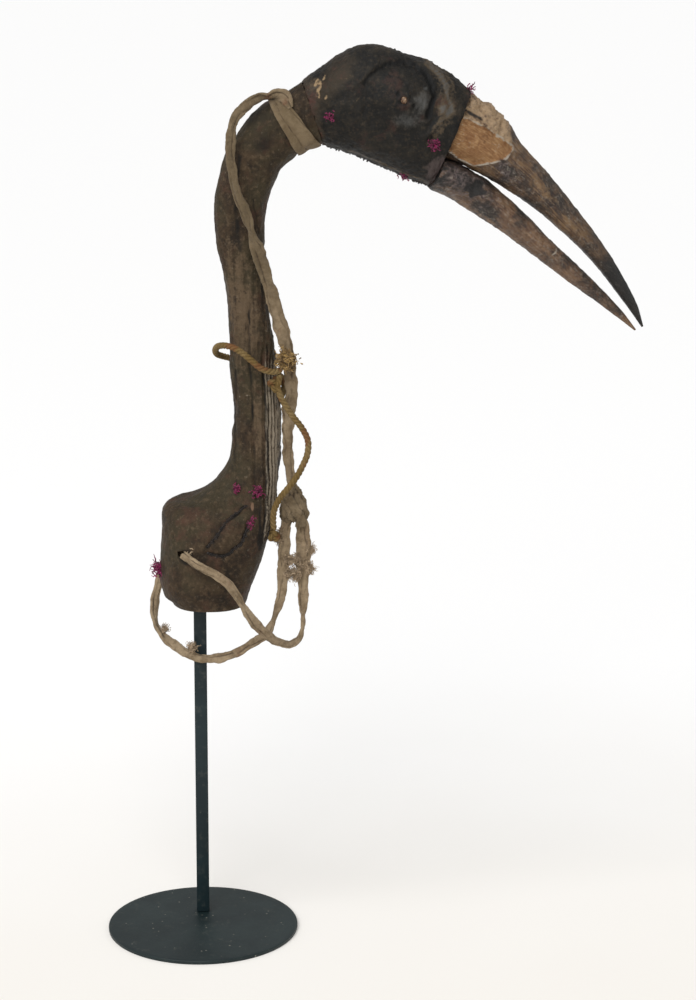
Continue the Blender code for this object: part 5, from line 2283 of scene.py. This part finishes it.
@dataclass
class Strapping:
    """The cloth strap: its turn round the neck, its long fall, its knot and its two legs."""

    finishes: Finishes
    neck: Form
    width: float = 0.0100
    thickness: float = 0.0030
    wrap_middle: Spot = (0.950, 0.963)
    wrap_half: Spot = (0.0085, 0.034)
    lumps: tuple[tuple[str, float, Point, int], ...] = (
        ("far", 0.935, (-1, -0.3, 0.1), 4), ("far", 0.880, (1, -0.3, 0.0), 3),
        ("far", 0.84, (1, -0.4, 0.2), 2), ("near", 0.79, (-1, -0.4, 0.0), 3),
        ("near", 0.84, (-1, -0.3, 0.1), 2), ("near", 0.82, (1, -0.3, 0.0), 3),
        ("near", 0.88, (1, -0.2, 0.1), 2), ("far", 0.47, (0.2, -0.4, 1), 2), ("far", 0.33, (1, -0.3, 0.2), 1),
    )

    def wrap_folds(self, turn: Array, edge: Array) -> tuple[Array, Array, Array]:
        """Where points of the wrap lie and how its folds stand.

        Args:
            turn: Shares round the neck.
            edge: Shares round the cloth's section.

        Returns:
            Places for noise, places across the cloth from -1 to 1, and the folds from 0 to 1.
        """
        angle = turn * math.tau
        side = flatten(np.cos(edge * math.tau), 0.75)
        spots = np.stack([np.cos(angle), np.sin(angle), side * 0.4], axis=1)
        shift = 0.22 * np.sin(angle * 2 + 1) + 0.10 * np.sin(angle * 5)
        folds = np.abs(np.sin((side + shift) * 2.7 + 0.5 + 0.6 * rough(spots, 0.9, 2, 30))) ** 0.6
        return spots, side, folds

    def place_wrap(self, turn: Array, edge: Array) -> Array:
        """The wrap.

        Args:
            turn: Shares round the neck.
            edge: Shares round the cloth's section.

        Returns:
            The points.
        """
        turn = np.where(turn > 0.9999, 0.0, turn)
        spots, side, folds = self.wrap_folds(turn, edge)
        below = (1 - spots[:, 1]) / 2
        middle, half = (
            span[0] * (1 - below) + span[1] * below for span in (self.wrap_middle, self.wrap_half)
        )
        face = (1 + flatten(np.sin(edge * math.tau), 0.6)) / 2
        ragged = rough(spots, 2.6, 4, 31)
        stand = folds * (0.85 + 0.4 * rough(spots, 0.8, 2, 32))
        lift = CLEAR + 0.0004 + face * (0.0007 + 0.0027 * stand + 0.0002 * ragged) * (1 - 0.45 * below)
        at = middle + half * side * (1 + 0.07 * ragged)
        return self.neck.lifted(np.clip(at, 0, 0.998), turn * math.tau, lift)

    def build_wrap(self) -> None:
        """The folded turn of cloth round the top of the neck."""
        mesh = rolled(200, 56, self.place_wrap, False)
        made = piece("wrap_cloth", mesh, self.finishes.wrap, ["strap_wrap"], 180)
        points, along, around = read_marks(made.data)
        # painted shade in the troughs of the folds, with darker spots at random
        valley_shade = 1 - smooth(self.wrap_folds(along, around)[2], 0.15, 0.55)
        lay(made.data, "fold", 0.30 * smooth(rough(points, 140, 3, 33), 0.15, 0.7) + 0.75 * valley_shade)
        lay(made.data, "worn", 0.5 * smooth(rough(points, 90, 3, 35), 0.0, 0.5))
        lay(made.data, "soil", 0.3 * smooth(rough(points, 120, 3, 34), 0.2, 0.8))

    def knot_shape(self, share: Array, turn: Array) -> Array:
        """The pleated lump of the knot, in a box from -1 to 1.

        Args:
            share: Shares from its top down.
            turn: Shares round it.

        Returns:
            The points.
        """
        angle = turn * math.tau
        lift = np.cos(share * math.pi)
        reach = np.sin(share * math.pi) ** 0.72 * (1.0 - 0.36 * lift)
        spots = np.stack([np.cos(angle) * reach, np.sin(angle) * reach, lift], axis=1)
        sweep = angle * 2 + lift * 2.2 + 1.1 * rough(spots, 1.3, 2, 40)
        pleat = np.abs(np.sin(sweep * 1.5 + 0.5)) ** 0.5
        fold = 0.98 - 0.26 * (1 - pleat) + 0.16 * rough(spots, 2.4, 4, 41)
        cross = np.cos(angle) * 0.8 + lift * 0.9
        fold = fold * (0.93 + 0.12 * np.exp(-(((cross - 0.30) / 0.22) ** 2)))
        return spots * fold[:, None] * np.array([1.0, 1.0, 0.99])

    def build_knot(self) -> bpy.types.Object:
        """The tear-shaped knot of folded cloth.

        Returns:
            The object.
        """
        middle, half = box_of("strap_knot")
        x, y, z = middle
        tail = (
            (x + 0.0035, y - 0.0050, z - half[2] * 0.30), (x + 0.0060, y - 0.0070, z - half[2] * 0.72),
            (x + 0.0050, y - 0.0058, z - half[2] * 1.02),
        )
        lump = rolled(96, 120, lambda share, turn: middle + half * self.knot_shape(share, turn))
        strip = FoldedStrip(curve_through(tail, 0.0006), ((0, 6), (1, 8.5)), ((0, 20), (1, 50)), 3.3, 0.002)
        mesh = join([lump, strip.mesh()])
        made = piece("cloth_knot", mesh, self.finishes.strap, ["strap_knot"], 75)
        points = read_marks(made.data)[0]
        out = np.linalg.norm((points - middle) / half, axis=1)
        # painted shade deep in the knot's pleats
        deep = 0.8 * (1 - smooth(out, 0.62, 0.86))
        lay(made.data, "fold", deep + 0.3 * smooth(rough(points, 210, 3, 43), 0.1, 0.7))
        lay(made.data, "worn", 0.15 * smooth(out, 0.85, 1.05))
        lay(made.data, "soil", 0.3 * smooth(rough(points, 90, 2, 44), 0.1, 0.6))
        lay(made.data, "grime", np.full(len(points), 0.75))
        return made

    def add_fluff(self, paths: dict[str, Array]) -> None:
        """Frayed cotton where the strips have worn, and flakes of it at the strap holes.

        Args:
            paths: Each strip's points, by its name.
        """
        dice = np.random.default_rng(17)
        parts = []
        for leg, share, way, lumps in self.lumps:
            path = paths[f"strap_leg_{leg}"]
            for _ in range(lumps):
                point = path[int(np.clip(share + dice.normal(0, 0.010), 0, 1) * (len(path) - 1))]
                middle = Vector(point) + Vector(way) * dice.uniform(0.0036, 0.0062)
                around = [(middle, Vector(tuple(dice.normal(0, 1, 3))) + Vector(way)) for _ in range(12)]
                seed = int(dice.integers(1000))
                parts.append(fibres(around, 120, 0.0054, 0.00026, seed, curl=2.6, spread=0.0016, sides=3))
        for side in Side:
            mouth = Vector((-0.0055, MID_PLANE + side.value * 0.0385, 0.3118))
            ways = [Vector((x, side.value * 0.7, z)) for x, z in ((0.6, 0.8), (-0.2, 1.0), (0.9, 0.3))]
            flakes = [(mouth, way) for way in ways]
            parts.append(fibres(flakes, 22, 0.0050, 0.00045, 23, curl=1.0, spread=0.0010))
        piece("strap_fluff", join(parts), self.finishes.fluff)

    def build(self) -> None:
        """Builds the cloth."""
        self.build_wrap()
        knot = self.build_knot()
        paths = {}
        for plan in STRIPS:
            path = curve_through(plan.route, 0.0009)
            strip = FoldedStrip(path, plan.widths, plan.turns, plan.seed, self.thickness)
            made = piece(plan.name, strip.mesh(), self.finishes.strap, [plan.node], 75)
            strip.lay_marks(made.data, plan.soil, plan.grime)
            declare(made, path)
            paths[plan.name] = path
        self.add_fluff(paths)


@dataclass
class Rope:
    """The ochre rope: a loop round the neck, its knot, its tail and its frayed end."""

    finishes: Finishes
    diameter: float = 0.0052
    lay_length: float = 0.0105
    fray_ways: tuple[Point, ...] = ((0, -1, 0), (-0.6, -0.6, 0.4), (0.6, -0.6, -0.3), (0.2, -0.3, 0.9))

    def build_run(self, name: str, route: Sequence[Point], node: str) -> tuple[bpy.types.Object, Array]:
        """One run of twisted rope along a route.

        Args:
            name: The piece's name.
            route: The chosen points of its middle.
            node: The CAD node that it replaces.

        Returns:
            The object and its path.
        """
        path = curve_through(route, 0.0008)
        mesh = join(strands(path, self.diameter, self.lay_length))
        made = piece(name, mesh, self.finishes.rope, [node], 180)
        lay(made.data, "soil", 0.8 * smooth(rough(read_marks(made.data)[0], 50, 3, 51), 0.1, 0.6))
        return made, path

    def build_knot(self, name: str, node: str, turns: float, seed: float) -> bpy.types.Object:
        """An overhand knot that fills the box of its solid.

        Args:
            name: The piece's name.
            node: The CAD node that it replaces.
            turns: The knot's turn about the view, in degrees.
            seed: A shift that gives another wear.

        Returns:
            The object.
        """
        middle, half = box_of(node)
        t = np.linspace(0, math.tau, 110)[:-1]
        flat = np.stack([np.sin(t) + 2 * np.sin(2 * t), np.cos(t) - 2 * np.cos(2 * t)]) / 2.9
        angle = math.radians(turns)
        x = flat[0] * math.cos(angle) - flat[1] * math.sin(angle)
        z = flat[0] * math.sin(angle) + flat[1] * math.cos(angle)
        thick = self.diameter * 0.84
        path = middle + np.stack([x, -0.9 * np.sin(3 * t), z], axis=1) * (half - thick / 2)
        path = np.vstack([path, path[:2]])
        mesh = join(strands(path, thick, self.lay_length * 0.8, sides=6))
        made = piece(name, mesh, self.finishes.rope, [node], 180)
        lay(made.data, "soil", 0.9 * smooth(rough(read_marks(made.data)[0], 90, 3, seed), -0.2, 0.5))
        return made

    def build_frayed_end(self) -> bpy.types.Object:
        """The short end, untwisted into a tangle that lies on the strap.

        Returns:
            The object.
        """
        low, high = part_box("rope_frayed_end")
        middle = (low + high) / 2
        places = [(middle + Vector(way) * 0.0010, Vector(way)) for way in self.fray_ways]
        parts = [fibres(places, 420, 0.0072, 0.00048, 12, curl=1.8, spread=0.0032, sides=4)]
        x, y, z = middle
        for swing in (0.0, 2.1, 4.2):
            core = (
                (x - 0.0035, y + 0.0012, z - 0.0055), (x + 0.0026 * math.cos(swing), y - 0.0012, z - 0.001),
                (x + 0.0034 * math.cos(swing + 1), y - 0.0015, z + 0.0030),
                (x + 0.0016 * math.cos(swing + 2), y + 0.0008, z + 0.0052),
            )
            parts.append(tube(curve_through(core, 0.0008), 0.0019, 10))
        return piece("rope_fray", join(parts), self.finishes.rope_fibre, ["rope_frayed_end"])

    def build(self) -> None:
        """Builds the rope."""
        loop, loop_path = self.build_run("rope_round_neck", ROPE_LOOP_ROUTE, "rope_loop")
        tail, tail_path = self.build_run("rope_fall", (*ROPE_TAIL_START, *ROPE_TAIL_ROUTE), "rope_tail")
        knot = self.build_knot("rope_main_knot", "rope_knot", 20, 61)
        end = self.build_knot("rope_last_knot", "rope_end_knot", 70, 62)
        fray = self.build_frayed_end()
        declare(loop, loop_path)
        declare(tail, tail_path)


@dataclass
class WoolTufts:
    """Magenta wool, sewn through the hide in small tufts."""

    finishes: Finishes
    neck: Surface
    head: Surface
    tufts: tuple[tuple[str, int, float], ...] = (
        ("crown", 18, 0.0066), ("cheek", 110, 0.0046), ("jaw", 26, 0.0060), ("nape", 52, 0.0040),
        ("flank", 95, 0.0052), ("heel", 76, 0.0120),
    )
    wisps: tuple[Spot, ...] = (
        (0.0286, 0.3570), (0.0286, 0.3570), (0.0286, 0.3570), (0.0398, 0.3350), (0.0385, 0.3310),
    )

    def build(self) -> None:
        """Builds the tufts and the loose wisps."""
        for i, (name, count, length) in enumerate(self.tufts):
            low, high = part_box(f"tuft_{name}")
            skin = self.neck if name in ("flank", "heel") else self.head
            place = skin.nearest((low + high) / 2)
            mesh = fibres([place], count, length, 0.00046, 80 + i, curl=1.3, spread=0.0018, sides=5)
            piece(f"wool_{name}", mesh, self.finishes.wool, [f"tuft_{name}"])
        found = [self.neck.from_side(lean, rise, Side.NEAR) for lean, rise in self.wisps]
        places = [place for place in found if place is not None]
        mesh = fibres(places, 90, 0.0048, 0.00040, 91, curl=1.1, spread=0.0014, sides=5)
        piece("wool_wisps", mesh, self.finishes.wool)


def main() -> None:
    """Builds the headdress piece by piece, with the same noise at every run."""
    noise.seed_set(NOISE_SEED)
    logging.basicConfig(level=logging.INFO, format="%(name)s: %(message)s")
    finishes = Finishes()
    Studio(finishes).build()
    forms = Forms()
    Stand(finishes).build()
    neck = NeckAndCup(finishes, forms.neck).build()
    head = Head(finishes, forms.head).build()
    Bills(finishes, forms.upper, forms.lower).build()
    Strapping(finishes, forms.neck).build()
    Rope(finishes).build()
    WoolTufts(finishes, neck, head).build()


if __name__ == "__main__":
    main()
